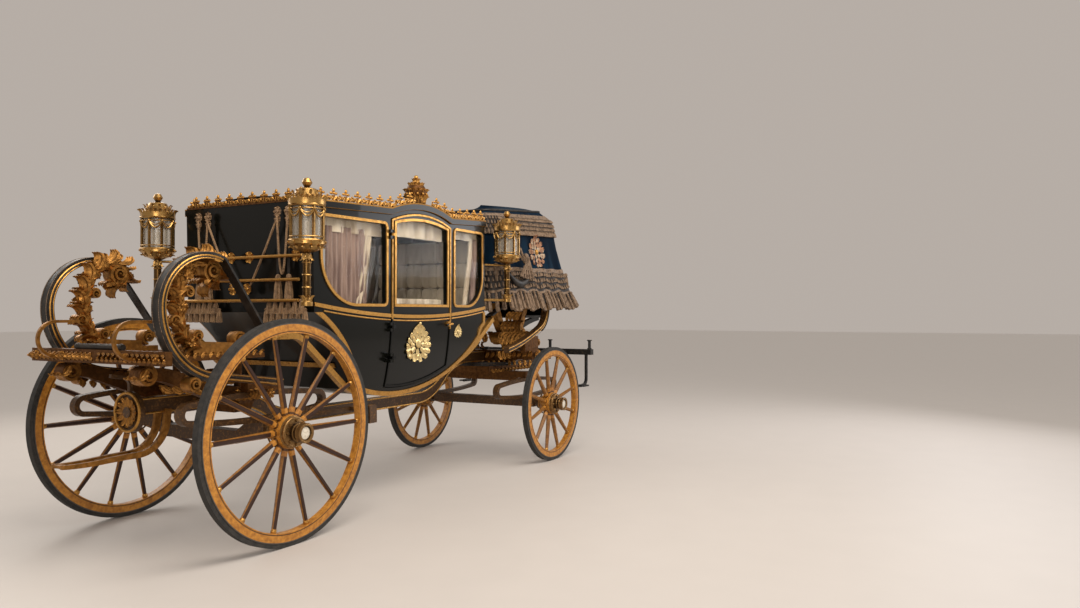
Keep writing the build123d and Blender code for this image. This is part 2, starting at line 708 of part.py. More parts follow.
def roof_nodes():
    """The crowned roof on the cornice, and the gallery round its edge."""
    low = top_edge(0)
    high = top_edge(ROOF_EDGE)
    closing = [Line(low[0] @ 0, high[0] @ 0), Line(low[-1] @ 1, high[-1] @ 1)]
    slab = across(make_face(low + high + closing), -BODY_HALF_WIDTH - 60, BODY_HALF_WIDTH + 60)
    slab = slab & hull(-ROOF_OVERHANG)
    rise = BODY_FRONT_TOP_Z - BODY_REAR_TOP_Z
    length = BODY_FRONT_X - BODY_REAR_X
    half = BODY_HALF_WIDTH - 70
    crown_face = make_face([
        ThreePointArc(Vector(0, -half, 0), Vector(0, 0, ROOF_CROWN), Vector(0, half, 0)),
        Line(Vector(0, half, 0), Vector(0, -half, 0))])
    tilt = -math.degrees(math.atan2(rise, length))
    crown = extrude(crown_face, length - 60, dir=(1, 0, 0))
    roof = slab + Pos(BODY_REAR_X + 30, 0, BODY_REAR_TOP_Z + ROOF_EDGE - 10) * Rot(0, tilt, 0) * crown
    save("roof", roof)
    return roof


def gallery_nodes(roof):
    """Palmettes on a rail round the roof, and a crown over each door."""
    foot_rise = ROOF_EDGE + GALLERY_RAIL
    low, high = top_edge(ROOF_EDGE), top_edge(foot_rise)
    closing = [Line(low[0] @ 0, high[0] @ 0), Line(low[-1] @ 1, high[-1] @ 1)]
    rail_face = make_face(low + high + closing)
    side = across(rail_face, 0, BODY_HALF_WIDTH + 50) & (half_hull(-4) - half_hull(8))
    leaf = palmette()
    door_x = (DOOR_REAR_X + DOOR_FRONT_X) / 2
    count = int((BODY_FRONT_X - BODY_REAR_X) // PALMETTE_PITCH)
    first_x = (BODY_REAR_X + BODY_FRONT_X) / 2 - (count - 1) / 2 * PALMETTE_PITCH
    for index in range(count):
        x = first_x + index * PALMETTE_PITCH
        if abs(x - door_x) > CROWN_RADIUS:
            place = Pos(x, side_y(x) - 2 + PALMETTE_THICKNESS / 2, cornice_z(x) + foot_rise - 2)
            side = side + place * leaf
    crown_profile = [
        # radius, height
        (CROWN_RADIUS * 0.8, 0), (CROWN_RADIUS * 0.86, 34), (CROWN_RADIUS, 96),
        (CROWN_RADIUS * 0.72, 140), (16, 158), (22, 172), (0, CROWN_HEIGHT)]
    crown_foot = (door_x, side_y(door_x) - CROWN_RADIUS + 20, cornice_z(door_x) + foot_rise)
    side = side + turned(crown_profile, crown_foot)
    ends = []
    for x in (BODY_REAR_X, BODY_FRONT_X):
        half = side_y(x) - 8
        base_z = cornice_z(x) + ROOF_EDGE
        rail = block((x - 6, -half, base_z), (x + 6, half, base_z + GALLERY_RAIL))
        count = int(2 * half // PALMETTE_PITCH)
        for index in range(count):
            y = (index - (count - 1) / 2) * PALMETTE_PITCH
            turned_leaf = Rot(0, 0, 90) * Pos(0, PALMETTE_THICKNESS / 2, 0) * leaf
            rail = rail + Pos(x, y, base_z + GALLERY_RAIL - 2) * turned_leaf
        ends.append(rail)
    side = side - roof
    left = max(side.solids(), key=lambda s: s.volume)
    save("roof_gallery", both_sides(left), *[end - roof for end in ends])


def palmette():
    """One upright leaf of the gallery."""
    w, h = PALMETTE_WIDTH / 2, PALMETTE_HEIGHT
    corners = [
        (-w * 0.45, 0), (-w, h * 0.45), (-w * 0.7, h * 0.78), (0, h),
        (w * 0.7, h * 0.78), (w, h * 0.45), (w * 0.45, 0)]
    face = make_face(Polyline(*[point(x, z) for x, z in corners], close=True))
    return across(face, -PALMETTE_THICKNESS, 0)


def side_y(x):
    """Half-width of the body above the belt at x."""
    return BODY_HALF_WIDTH - BOW_RADIUS + math.sqrt(BOW_RADIUS ** 2 - (x - BOW_X) ** 2)


def cornice_z(x):
    """Height of the cornice line at x."""
    for edge in top_edge(0):
        a, b = edge @ 0, edge @ 1
        if a.X <= x <= b.X:
            low, high = 0.0, 1.0
            for _ in range(40):
                middle = (low + high) / 2
                if (edge @ middle).X < x:
                    low = middle
                else:
                    high = middle
            return (edge @ low).Y
    return BODY_REAR_TOP_Z if x < BODY_REAR_X else BODY_FRONT_TOP_Z


def spring_nodes(outer):
    """C-springs, the braces that wrap them and the loops under the body."""
    width = (SPRING_ROOT / 2, SPRING_TIP / 2)
    table = [
        # name, start, heading, runs, outside of the C, runs without brace, brace tail,
        # loop start, loop heading, loop runs
        ("rear", REAR_SPRING_START, 172, REAR_SPRING_RUNS, 1, 1, REAR_BRACE_TAIL,
         REAR_LOOP_START, 0, REAR_LOOP_RUNS),
        ("front", FRONT_SPRING_START, 10, FRONT_SPRING_RUNS, -1, 2, FRONT_BRACE_TAIL,
         FRONT_LOOP_START, 217, FRONT_LOOP_RUNS),
    ]
    springs = {}
    braces = []
    loops = []
    for name, start, heading, runs, out, bare, tail_runs, loop_start, loop_heading, loop_runs in table:
        path = stations(start, heading, runs)
        leaf = ribbon(path, runs, (-width[0], -width[1]), width)
        springs[name] = across(leaf, SPRING_Y - SPRING_WIDTH / 2, SPRING_Y + SPRING_WIDTH / 2)
        save(f"c_springs_{name}", both_sides(springs[name]))
        loop_face = strip(loop_start, loop_heading, loop_runs, LOOP_BAR, LOOP_BAR)
        loop = across(loop_face, SPRING_Y - LOOP_WIDTH / 2, SPRING_Y + LOOP_WIDTH / 2)
        loops.append(less(loop, [outer]))
        near = (out * width[0], out * width[1])
        far = (out * (width[0] + BRACE), out * (width[1] + BRACE))
        wrap = ribbon(path, runs, near, far, first=bare)
        x, z, angle, _ = path[-1]
        left = out * (width[1] + BRACE / 2)
        tip = (x - left * math.sin(angle), z + left * math.cos(angle))
        tail = strip(tip, math.degrees(angle), tail_runs, BRACE, BRACE)
        low_y, high_y = SPRING_Y - BRACE_WIDTH / 2, SPRING_Y + BRACE_WIDTH / 2
        strap = [across(face, low_y, high_y) for face in (wrap, tail)]
        braces.append(less(fused(strap), [springs[name], loops[-1]]))
    save("leather_braces", *[both_sides(brace) for brace in braces])
    save("body_loops", *[both_sides(loop) for loop in loops])
    return springs


def elliptic_face(x, low_z, high_z):
    """One elliptic spring in side view: two bowed leaves with rounded ends."""
    z = (low_z + high_z) / 2
    rise = (high_z - low_z) / 2
    eye = rise * UNDER_SPRING_EYE
    reach = UNDER_SPRING_HALF - eye
    rear_low, front_low = point(x - reach, z - eye), point(x + reach, z - eye)
    rear_high, front_high = point(x - reach, z + eye), point(x + reach, z + eye)
    outline = make_face([
        ThreePointArc(rear_low, point(x, z - rise), front_low),
        ThreePointArc(front_low, point(x + reach + eye, z), front_high),
        ThreePointArc(front_high, point(x, z + rise), rear_high),
        ThreePointArc(rear_high, point(x - reach - eye, z), rear_low)])
    return outline - offset(outline, -UNDER_SPRING_LEAF)


def under_spring_nodes():
    """Elliptic springs over the axle ends, behind and in front."""
    low_y = UNDER_SPRING_Y - UNDER_SPRING_WIDTH / 2
    high_y = UNDER_SPRING_Y + UNDER_SPRING_WIDTH / 2
    table = [
        # name, x, wheel, height of the seat on top
        ("rear", -STEER_X, REAR_WHEEL_DIAMETER, REAR_SEAT_Z),
        ("front", STEER_X, FRONT_WHEEL_DIAMETER, FRONT_SEAT_Z),
    ]
    for name, x, diameter, seat_z in table:
        face = elliptic_face(x, diameter / 2 + AXLE_BAR / 2, seat_z)
        save(f"under_springs_{name}", both_sides(across(face, low_y, high_y)))


def perch_nodes():
    """The swan-necked perch with the round boss on its tail."""
    path = strip(PERCH_START, 0, PERCH_RUNS, PERCH_DEPTH, PERCH_DEPTH)
    perch = across(path, -PERCH_WIDTH / 2, PERCH_WIDTH / 2)
    hole = Pos(STEER_X, 0, PERCH_START[1]) * Cylinder(KING_BOLT_RADIUS + KING_BOLT_FIT, KING_BOLT_REACH)
    hollow = Pos(0, 0, BOSS_THICKNESS / 2) * Cylinder(BOSS_HOLLOW, BOSS_THICKNESS)
    disc = Cylinder(BOSS_RADIUS, BOSS_THICKNESS) - hollow
    hub = Cylinder(BOSS_HUB, BOSS_THICKNESS + 2 * BOSS_RAISE)
    boss_x = PERCH_START[0] - BOSS_THICKNESS / 2
    boss = Pos(boss_x, 0, BOSS_Z) * Rot(0, -90, 0) * (disc + hub)
    hook_start = (boss_x, BOSS_Z + BOSS_RADIUS - HOOK_ROD)
    hook = across(strip(hook_start, 90, HOOK_RUNS, HOOK_ROD, HOOK_ROD), -HOOK_ROD / 2, HOOK_ROD / 2)
    perch = fused([perch, boss, hook]) - hole
    save("perch", perch)
    return perch


def axle(x, z, drop):
    """An axle bar, cranked down between the springs, with a round arm and a
    collar at each end."""
    half = AXLE_BAR / 2
    crank = UNDER_SPRING_Y - UNDER_SPRING_WIDTH
    inner = crank - AXLE_CRANK
    line = [(-BED_HALF, z), (-crank, z), (-inner, z - drop), (inner, z - drop), (crank, z), (BED_HALF, z)]
    top = [Vector(y, h + half, 0) for y, h in line]
    low = [Vector(y, h - half, 0) for y, h in reversed(line)]
    outline = make_face(Polyline(*top, *low, close=True))
    bar = along(outline, x - half, x + half)
    collar_out = NAVE_IN - AXLE_END_GAP
    for sign in (1, -1):
        arm = sorted((sign * (BED_HALF - 20), sign * AXLE_END))
        collar = sorted((sign * (collar_out - AXLE_COLLAR_LENGTH), sign * collar_out))
        bar = bar + rod_y(x, z, *arm, AXLE_ARM_RADIUS) + rod_y(x, z, *collar, AXLE_COLLAR_RADIUS)
    return bar


def wheel_nodes():
    """Four wheels: tyre, felloe with spokes and nave, brass hub box and cap."""
    table = [
        # name, axle x, diameter, spokes
        ("rear", -WHEELBASE / 2, REAR_WHEEL_DIAMETER, REAR_SPOKES),
        ("front", WHEELBASE / 2, FRONT_WHEEL_DIAMETER, FRONT_SPOKES),
    ]
    nave_out = NAVE_IN + NAVE_LENGTH
    spoke_root_y = TRACK / 2 - WHEEL_DISH
    for name, x, diameter, spokes in table:
        radius = diameter / 2
        centre = (x, radius)
        tyre = ring_y(centre, radius, radius - TYRE_THICKNESS, TRACK / 2, TYRE_WIDTH)
        felloe_out = radius - TYRE_THICKNESS
        felloe_in = felloe_out - FELLOE_DEPTH
        wood = ring_y(centre, felloe_out, felloe_in, TRACK / 2, FELLOE_WIDTH)
        nave_profile = [
            # radius, distance out
            (NAVE_END_RADIUS, 0), (NAVE_END_RADIUS, NAVE_LENGTH * 0.12),
            (NAVE_RADIUS * 0.96, NAVE_LENGTH * 0.4), (NAVE_RADIUS, NAVE_LENGTH * 0.6),
            (NAVE_RADIUS, NAVE_LENGTH)]
        nave = Pos(x, NAVE_IN, radius) * Rot(-90, 0, 0) * turned(nave_profile, (0, 0, 0))
        wood = wood + nave
        root_plane = Plane(origin=(0, spoke_root_y, NAVE_RADIUS * 0.6), x_dir=(1, 0, 0), z_dir=(0, 0, 1))
        tip_plane = Plane(origin=(0, TRACK / 2, felloe_in + 4), x_dir=(1, 0, 0), z_dir=(0, 0, 1))
        root = root_plane * RegularPolygon(SPOKE_ROOT / 2, 6)
        tip = tip_plane * RegularPolygon(SPOKE_TIP / 2, 6)
        spoke = loft([root, tip])
        for index in range(spokes):
            wood = wood + Pos(x, 0, radius) * Rot(0, 360 / spokes * (index + 0.5), 0) * spoke
        bore = rod_y(x, radius, NAVE_IN - 1, AXLE_END + AXLE_END_GAP, AXLE_ARM_RADIUS + AXLE_ARM_FIT)
        wood = wood - bore
        cap_y = nave_out + HUB_LENGTH
        hub_profile = [
            # radius, distance out
            (HUB_RADIUS * 0.94, 0), (HUB_RADIUS, HUB_DRUM * 0.3), (HUB_RADIUS, HUB_DRUM * 0.7),
            (HUB_RADIUS * 0.9, HUB_DRUM), (HUB_NECK_RADIUS, HUB_DRUM * 1.2), (HUB_NECK_RADIUS, HUB_LENGTH),
            (HUB_CAP_RADIUS, HUB_LENGTH), (HUB_CAP_RADIUS, HUB_LENGTH + HUB_CAP_LENGTH)]
        hub = Pos(x, nave_out, radius) * Rot(-90, 0, 0) * turned(hub_profile, (0, 0, 0))
        dish_y = cap_y + HUB_CAP_LENGTH / 2
        dish = rod_y(x, radius, dish_y, cap_y + HUB_CAP_LENGTH + 1, HUB_CAP_RADIUS - HUB_CAP_WALL)
        hub = hub - bore - dish
        for side in ("left", "right"):
            for part, shape in (("tyre", tyre), ("wood", wood), ("hub", hub)):
                placed = shape if side == "left" else mirror(shape, Plane.XZ)
                save(f"wheel_{name}_{side}_{part}", placed)


def ring_y(centre, outer_radius, inner_radius, middle_y, width):
    """A ring standing upright, its axis across the coach."""
    face = Pos(*centre) * (Circle(outer_radius) - Circle(inner_radius))
    return across(face, middle_y - width / 2, middle_y + width / 2)


def bed_face(low_z, high_z, seat_z, half):
    """A bed's outline seen from the end: a deep middle and ends that rise to
    stand on the springs."""
    shoulder = UNDER_SPRING_Y - UNDER_SPRING_WIDTH
    line = [
        (-half, high_z), (half, high_z), (half, seat_z), (shoulder, seat_z),
        (shoulder - BED_CHAMFER, low_z), (BED_CHAMFER - shoulder, low_z),
        (-shoulder, seat_z), (-half, seat_z)]
    return make_face(Polyline(*[Vector(y, z, 0) for y, z in line], close=True))


def spring_seats(x, low_z, spring):
    """Blocks that fill the wedge between a bed and the C-springs above it."""
    half = SPRING_SEAT_LENGTH / 2
    low_y, high_y = SPRING_Y - SPRING_WIDTH / 2, SPRING_Y + SPRING_WIDTH / 2
    seat = block((x - half, low_y, low_z), (x + half, high_y, low_z + SPRING_SEAT_LENGTH))
    seat = (seat - spring) & block((x - half, low_y, low_z), (x + half, high_y, spring_top(spring, x)))
    return both_sides(min(seat.solids(), key=lambda s: s.center().Z))


def spring_top(spring, x):
    """The height of the middle of a C-spring's foot above x."""
    slice_box = (spring & block((x - 1, 0, 0), (x + 1, FAR, FAR))).bounding_box()
    return (slice_box.min.Z + slice_box.max.Z) / 2


def rear_bed_nodes(springs, perch, platform):
    """The rear axle, and the bed with the corbels that carry the platform."""
    x = -STEER_X
    half = BED_LENGTH / 2
    save("rear_axle", axle(x, REAR_WHEEL_DIAMETER / 2, REAR_AXLE_DROP))
    face = bed_face(REAR_BED_LOW_Z, REAR_BED_TOP_Z, REAR_SEAT_Z, BED_HALF)
    bed = fused([along(face, x - half, x + half)] + spring_seats(x, REAR_SEAT_Z, springs["rear"]))
    corbel_start = (x + half - 10, REAR_BED_TOP_Z - 60)
    corbel = strip(corbel_start, 180, CORBEL_RUNS, CORBEL_ROOT, CORBEL_TIP)
    scroll_x, scroll_z, _, _ = stations(corbel_start, 180, CORBEL_RUNS)[-1]
    low_y, high_y = CORBEL_Y - CORBEL_WIDTH / 2, CORBEL_Y + CORBEL_WIDTH / 2
    scroll = rod_y(scroll_x, scroll_z, low_y - SCROLL_PROUD, high_y + SCROLL_PROUD, SCROLL_RADIUS)
    post_middle = (PLATFORM_FRONT_X - 60, POST_Y, (REAR_BED_TOP_Z + PLATFORM_Z) / 2)
    post = Pos(*post_middle) * Cylinder(POST_RADIUS, PLATFORM_Z - REAR_BED_TOP_Z)
    for piece in (across(corbel, low_y, high_y), scroll, post):
        bed = fused([bed] + both_sides(piece))
    save("rear_bed", less(bed, both_sides(springs["rear"]) + [perch, platform]))


def fore_nodes(springs, perch):
    """The transom on the coach, and below it all that steers: plates, bed,
    springs' seat, axle, king bolt, futchells, splinter bar and steps."""
    x = STEER_X
    half = BED_LENGTH / 2
    face = bed_face(TRANSOM_LOW_Z, TRANSOM_TOP_Z, TRANSOM_LOW_Z + 30, BED_HALF)
    bolt_hole = Pos(x, 0, TRANSOM_TOP_Z) * Cylinder(KING_BOLT_RADIUS + KING_BOLT_FIT, KING_BOLT_REACH)
    seats = spring_seats(x, TRANSOM_TOP_Z - 20, springs["front"])
    transom = fused([along(face, x - half, x + half)] + seats)
    save("front_transom", less(transom, both_sides(springs["front"]) + [perch, bolt_hole]))
    ring = Cylinder(PLATE_OUTER_RADIUS, PLATE_THICKNESS) - Cylinder(PLATE_INNER_RADIUS, PLATE_THICKNESS)
    upper_z = TRANSOM_LOW_Z - PLATE_THICKNESS
    lower_z = upper_z - PLATE_GAP - PLATE_THICKNESS
    save("wheel_plate_upper", Pos(x, 0, upper_z + PLATE_THICKNESS / 2) * ring)
    save("wheel_plate_lower", Pos(x, 0, lower_z + PLATE_THICKNESS / 2) * ring)
    save("front_axle", axle(x, FRONT_WHEEL_DIAMETER / 2, 0))
    bed_top = lower_z - FUTCHELL_DEPTH
    bed_low = bed_top - FORE_BED_DEPTH
    bed_half = UNDER_SPRING_Y + UNDER_SPRING_WIDTH / 2
    bed = along(bed_face(bed_low, bed_top, FRONT_SEAT_Z, bed_half), x - half, x + half)
    bolt_top = TRANSOM_TOP_Z + WASHER
    bolt = Pos(x, 0, (bed_low + bolt_top) / 2) * Cylinder(KING_BOLT_RADIUS, bolt_top - bed_low)
    head = Pos(x, 0, bolt_top + KING_BOLT_HEAD / 4) * Cylinder(KING_BOLT_HEAD, KING_BOLT_HEAD / 2)
    save("fore_bed", bed - bolt)
    save("king_bolt", bolt + head)
    beam_top = futchell_node(lower_z)
    splinter_nodes(beam_top)


def futchell_node(top_z):
    """The two beams that run out to the splinter bar, and the pole's socket."""
    start = (FUTCHELL_REAR_X, top_z - FUTCHELL_DEPTH / 2)
    beam = strip(start, 0, FUTCHELL_RUNS, FUTCHELL_DEPTH, FUTCHELL_DEPTH)
    beams = beside(beam, FUTCHELL_Y, FUTCHELL_WIDTH)
    beam_top = beams[0].bounding_box().max.Z
    rear_x = END_X - POLE_SOCKET_LENGTH
    half = POLE_SOCKET / 2
    socket = block((rear_x, -half, POLE_Z - half), (END_X, half, beam_top))
    front_cross = block((rear_x, -FUTCHELL_Y, beam_top - FUTCHELL_DEPTH),
                        (rear_x + FUTCHELL_CROSS, FUTCHELL_Y, beam_top))
    rear_cross = block((FUTCHELL_REAR_X, -FUTCHELL_Y, top_z - FUTCHELL_DEPTH),
                       (FUTCHELL_REAR_X + FUTCHELL_CROSS, FUTCHELL_Y, top_z))
    bore = Pos(END_X - POLE_SOCKET_LENGTH / 2, 0, POLE_Z) * Rot(0, 90, 0) * Cylinder(
        POLE_BORE_RADIUS, POLE_SOCKET_LENGTH + 2)
    save("futchells", fused(beams + [front_cross, socket, rear_cross]) - bore)
    return beam_top


def splinter_nodes(beam_top):
    """The splinter bar with its roller bolts, and the step irons below it."""
    top = beam_top + SPLINTER_DEPTH
    half = SPLINTER_LENGTH / 2
    bar = block((SPLINTER_X - half, -SPLINTER_HALF, beam_top), (SPLINTER_X + half, SPLINTER_HALF, top))
    bolt = [
        # foot, length, radius
        (0, ROLLER_FLANGE, ROLLER_BOLT_RADIUS + 8),
        (0, ROLLER_BOLT_HEIGHT, ROLLER_BOLT_RADIUS),
        (ROLLER_BOLT_HEIGHT, ROLLER_FLANGE, ROLLER_BOLT_RADIUS + 10),
    ]
    for y in ROLLER_BOLTS:
        for low, length, radius in bolt:
            bar = bar + Pos(SPLINTER_X, y, top + low + length / 2) * Cylinder(radius, length)
    save("splinter_bar", bar)
    iron_start = (SPLINTER_X - 20, beam_top)
    iron = strip(iron_start, -90, STEP_IRON_RUNS, STEP_IRON, STEP_IRON)
    tread_x, tread_z, _, _ = stations(iron_start, -90, STEP_IRON_RUNS)[-1]
    middle_y = SPLINTER_HALF - 60
    half_tread = STEP_TREAD / 2
    tread = block((tread_x - 10, middle_y - half_tread, tread_z - STEP_THICKNESS / 2),
                  (tread_x + STEP_TREAD, middle_y + half_tread, tread_z + STEP_THICKNESS / 2))
    hanger = across(iron, middle_y - STEP_IRON / 2, middle_y + STEP_IRON / 2)
    save("step_irons", both_sides(fused([hanger, tread])))


def brake_node():
    """Brake shoes in front of the rear wheels, on arms from the rear axle."""
    axle_z = REAR_WHEEL_DIAMETER / 2
    face_radius = REAR_WHEEL_DIAMETER / 2 + BRAKE_SHOE_GAP
    ring = Pos(-STEER_X, axle_z) * (Circle(face_radius + BRAKE_SHOE) - Circle(face_radius))
    low_z = axle_z - BRAKE_SHOE_DROP
    in_front = rectangle(-STEER_X, -STEER_X + face_radius + BRAKE_SHOE, low_z, low_z + BRAKE_SHOE_HEIGHT)
    shoe = across(ring & in_front, TRACK / 2 - BRAKE_SHOE_WIDTH / 2, TRACK / 2 + BRAKE_SHOE_WIDTH / 2)
    shoe_x = -STEER_X + face_radius + BRAKE_SHOE / 2
    arm_y = BED_HALF - BRAKE_ARM / 2
    half = BRAKE_ARM / 2
    arm_z = axle_z + AXLE_BAR / 2
    arm = block((-STEER_X - AXLE_BAR / 2, arm_y - half, arm_z),
                (shoe_x + half, arm_y + half, arm_z + BRAKE_ARM))
    link = block((shoe_x, arm_y, arm_z), (shoe_x + BRAKE_ARM, TRACK / 2, arm_z + BRAKE_ARM))
    save("brake_gear", both_sides(biggest(fused([shoe, arm, link]))))


def platform_shape():
    """The footmen's deck and the deep board along its rear edge."""
    deck_top = PLATFORM_Z + PLATFORM_THICKNESS
    board_low = PLATFORM_Z - REAR_BOARD_DROP
    deck = block((PLATFORM_REAR_X, -PLATFORM_HALF, PLATFORM_Z), (PLATFORM_FRONT_X, PLATFORM_HALF, deck_top))
    board = block((PLATFORM_REAR_X - REAR_BOARD, -REAR_BOARD_HALF, board_low),
                  (PLATFORM_REAR_X, REAR_BOARD_HALF, board_low + REAR_BOARD_DEPTH))
    return deck + board


def platform_nodes(perch, platform):
    """The footmen's platform behind, its guards, standards, step and rails."""
    save("rear_platform", platform)
    guard = strip(GUARD_START, 180, GUARD_RUNS, GUARD_ROD, GUARD_ROD)
    guards = [less(piece, [platform]) for piece in beside(guard, GUARD_Y, GUARD_ROD)]
    foot_z = PLATFORM_Z + PLATFORM_THICKNESS
    standard = strip(STANDARD_START, 176, STANDARD_RUNS, STANDARD_ROOT, STANDARD_TIP)
    foot = rectangle(STANDARD_FOOT_X - STANDARD_FOOT, STANDARD_FOOT_X, foot_z, foot_z + STANDARD_TIP)
    uprights = beside(standard, STANDARD_Y, STANDARD_WIDTH)
    feet = beside(foot, STANDARD_Y, STANDARD_WIDTH)
    save("rear_standards", *[less(fused(pair), [platform]) for pair in zip(uprights, feet)])
    step = strip(STEP_START, -95, STEP_RUNS, STEP_ROOT, STEP_TIP)
    ladder = both_sides(across(step, STEP_BAR_Y, STEP_BAR_Y + STEP_TIP))
    rungs = []
    for x, z, _, _ in stations(STEP_START, -95, STEP_RUNS)[4::2]:
        rungs.append(block((x, -STEP_BAR_Y - 2, z - STEP_RUNG / 2),
                           (x + STEP_TREAD / 3, STEP_BAR_Y + 2, z + STEP_RUNG / 2)))
    save("rear_irons", *guards, less(fused(ladder + rungs), [perch]))
    rails = []
    for z, reach in RAILS:
        rail = rod_y(RAIL_X, z, -reach, reach, RAIL_RADIUS)
        for y in (-reach + 60, 0, reach - 60):
            rail = rail + rod((BODY_REAR_X, y, z), (RAIL_X, y, z), RAIL_RADIUS)
        rails.append(rail)
    save("rear_rails", *rails)
    holders = []
    x = RAIL_X + 2 * HOLDER
    half = HOLDER_WIDTH / 2
    for y in HOLDER_YS:
        band = block((x, y - half, HOLDER_LOW_Z), (x + HOLDER, y + half, HOLDER_TOP_Z))
        tassel = Pos(x + HOLDER / 2, y, HOLDER_LOW_Z - TASSEL / 2) * Cylinder(TASSEL_RADIUS, TASSEL)
        holders.append(band + tassel)
    save("footman_holders", *[h - rails[0] - rails[1] - rails[2] for h in holders])


def lamp_nodes(outer):
    """Four lamps on posts: case, glass and the arms that hold them."""
    arms = []
    glasses = []
    for name, lamp in (("rear", REAR_LAMP), ("front", FRONT_LAMP)):
        x, y, z = lamp["x"], lamp["y"], lamp["foot_z"]
        centre = (x, y, z)
        body_low = LAMP_POST
        glass_low = body_low + LAMP_FUNNEL
        glass_high = glass_low + LAMP_GLASS
        glass_middle = (glass_low + glass_high) / 2
        top = glass_high + LAMP_HOOD
        foot_profile = [
            # radius, height
            (LAMP_POST_RADIUS * 1.5, 0), (LAMP_POST_RADIUS * 1.5, 24), (LAMP_POST_RADIUS, 40),
            (LAMP_POST_RADIUS, body_low), (LAMP_RADIUS * 0.62, body_low + 20),
            (LAMP_RADIUS, glass_low - 18), (LAMP_RADIUS, glass_low)]
        hood_profile = [
            # radius, height
            (LAMP_RADIUS, glass_high), (LAMP_RADIUS, glass_high + 34), (LAMP_RADIUS * 0.8, glass_high + 50),
            (LAMP_RADIUS * 0.5, glass_high + 104), (LAMP_BALL_RADIUS * 0.5, top - 30),
            (LAMP_BALL_RADIUS, top), (LAMP_BALL_RADIUS * 0.6, top + 26), (0, top + 34)]
        case = turned(foot_profile, centre) + turned(hood_profile, centre)
        for index in range(LAMP_FACES):
            angle = math.radians(360 / LAMP_FACES * (index + 0.5))
            reach = LAMP_RADIUS - 10
            bar = Pos(x + reach * math.cos(angle), y + reach * math.sin(angle), z + glass_middle)
            case = case + bar * Box(LAMP_BAR, LAMP_BAR, LAMP_GLASS)
        glass = Cylinder(LAMP_RADIUS - 20, LAMP_GLASS) - Cylinder(LAMP_RADIUS - 24, LAMP_GLASS)
        glasses.append(Pos(x, y, z + glass_middle) * glass - case)
        pillar_x = lamp["pillar_x"]
        pillar_y = side_y(pillar_x) - 20
        for height, radius in ((z + 16, LAMP_ARM_RADIUS * 1.4), (z + LAMP_POST - 10, LAMP_ARM_RADIUS)):
            case = case + rod((x, y, height), (pillar_x, pillar_y, height), radius)
        case = case - outer
        save(f"lamps_{name}", both_sides(max(case.solids(), key=lambda s: s.volume)))
    save("lamp_glass", *[both_sides(glass) for glass in glasses])


def box_nodes():
    """The coachman's box: seat on standards, toe board and hanging cloth."""
    room = cloth_form(CLOTH)
    save("hammercloth", cloth_form(0) - room)
    board = strip(TOE_START, 0, TOE_RUNS, TOE_BOARD, TOE_BOARD)
    bearer_start = (STEER_X + BEARER_OUT, TOE_START[1] - BEARER_DROP)
    bearer = strip(bearer_start, 0, BEARER_RUNS, BEARER_ROOT, BEARER_TIP)
    under_board = block((0, -FAR, 0), (FAR, FAR, TOE_START[1]))
    bearers = [piece & under_board for piece in beside(bearer, BOX_STANDARD_Y, BEARER_WIDTH)]
    toe = fused([across(board, -TOE_BOARD_HALF, TOE_BOARD_HALF)] + bearers)
    save("toe_board", toe)
    seat = room & block((SEAT_LOW_X, -SEAT_HALF, SEAT_FRAME_Z), (SEAT_HIGH_X, SEAT_HALF, FAR))
    rear_leg = strip((STEER_X - LEG_STEP, TRANSOM_TOP_Z), 112, REAR_LEG_RUNS, LEG_ROOT, LEG_TIP)
    front_leg = strip((STEER_X + LEG_STEP, TRANSOM_TOP_Z), 68, FRONT_LEG_RUNS, LEG_ROOT, LEG_TIP)
    legs = beside(rear_leg, BOX_STANDARD_Y, LEG_WIDTH) + beside(front_leg, BOX_STANDARD_Y, LEG_WIDTH)
    above_transom = block((0, -FAR, TRANSOM_TOP_Z), (FAR, FAR, SEAT_FRAME_Z + 1))
    legs = [leg & above_transom for leg in legs]
    save("box_frame", less(fused([seat] + legs), [toe]))


def cloth_form(inset):
    """The hanging's outer form, or the room inside it when inset."""
    sections = []
    for low_x, high_x, half, rear_z, front_z, corner in CLOTH_SECTIONS:
        lower = 0 if rear_z == front_z else inset
        tilt = -math.degrees(math.atan2(front_z - rear_z, high_x - low_x))
        place = Pos((low_x + high_x) / 2, 0, (rear_z + front_z) / 2 - lower) * Rot(0, tilt, 0)
        sections.append(place * RectangleRounded(high_x - low_x - 2 * inset, 2 * (half - inset), corner))
    return loft(sections, ruled=True)


def inside_nodes():
    """The two facing seats of the cabin: boxes below, cushions above."""
    half = END_PANEL_HALF_WIDTH
    boxes = []
    cushions = []
    for low_x, high_x, box_low_x, box_high_x in SEATS:
        boxes.append(block((box_low_x, -half, SEAT_BOX_Z), (box_high_x, half, SEAT_Z)))
        cushions.append(block((low_x, -half, SEAT_Z), (high_x, half, SEAT_Z + CUSHION)))
    room = across(offset(body_outline(), -WALL - 1, kind=Kind.INTERSECTION), -half, half)
    save("seat_boxes", *[b & room for b in boxes])
    save("seat_cushions", *[c & room for c in cushions])


def main():
    outer, door, door_glass = body_nodes()
    door_nodes(door, door_glass, moulding_nodes(), outer)
    gallery_nodes(roof_nodes())
    springs = spring_nodes(outer)
    under_spring_nodes()
    perch = perch_nodes()
    platform = platform_shape()
    rear_bed_nodes(springs, perch, platform)
    platform_nodes(perch, platform)
    fore_nodes(springs, perch)
    brake_node()
    wheel_nodes()
    lamp_nodes(outer)
    box_nodes()
    inside_nodes()


if __name__ == "__main__":
    main()
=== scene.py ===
import math

import bmesh
import bpy
from bpy.props import FloatProperty, FloatVectorProperty, PointerProperty
from mathutils import Euler, Matrix, Vector


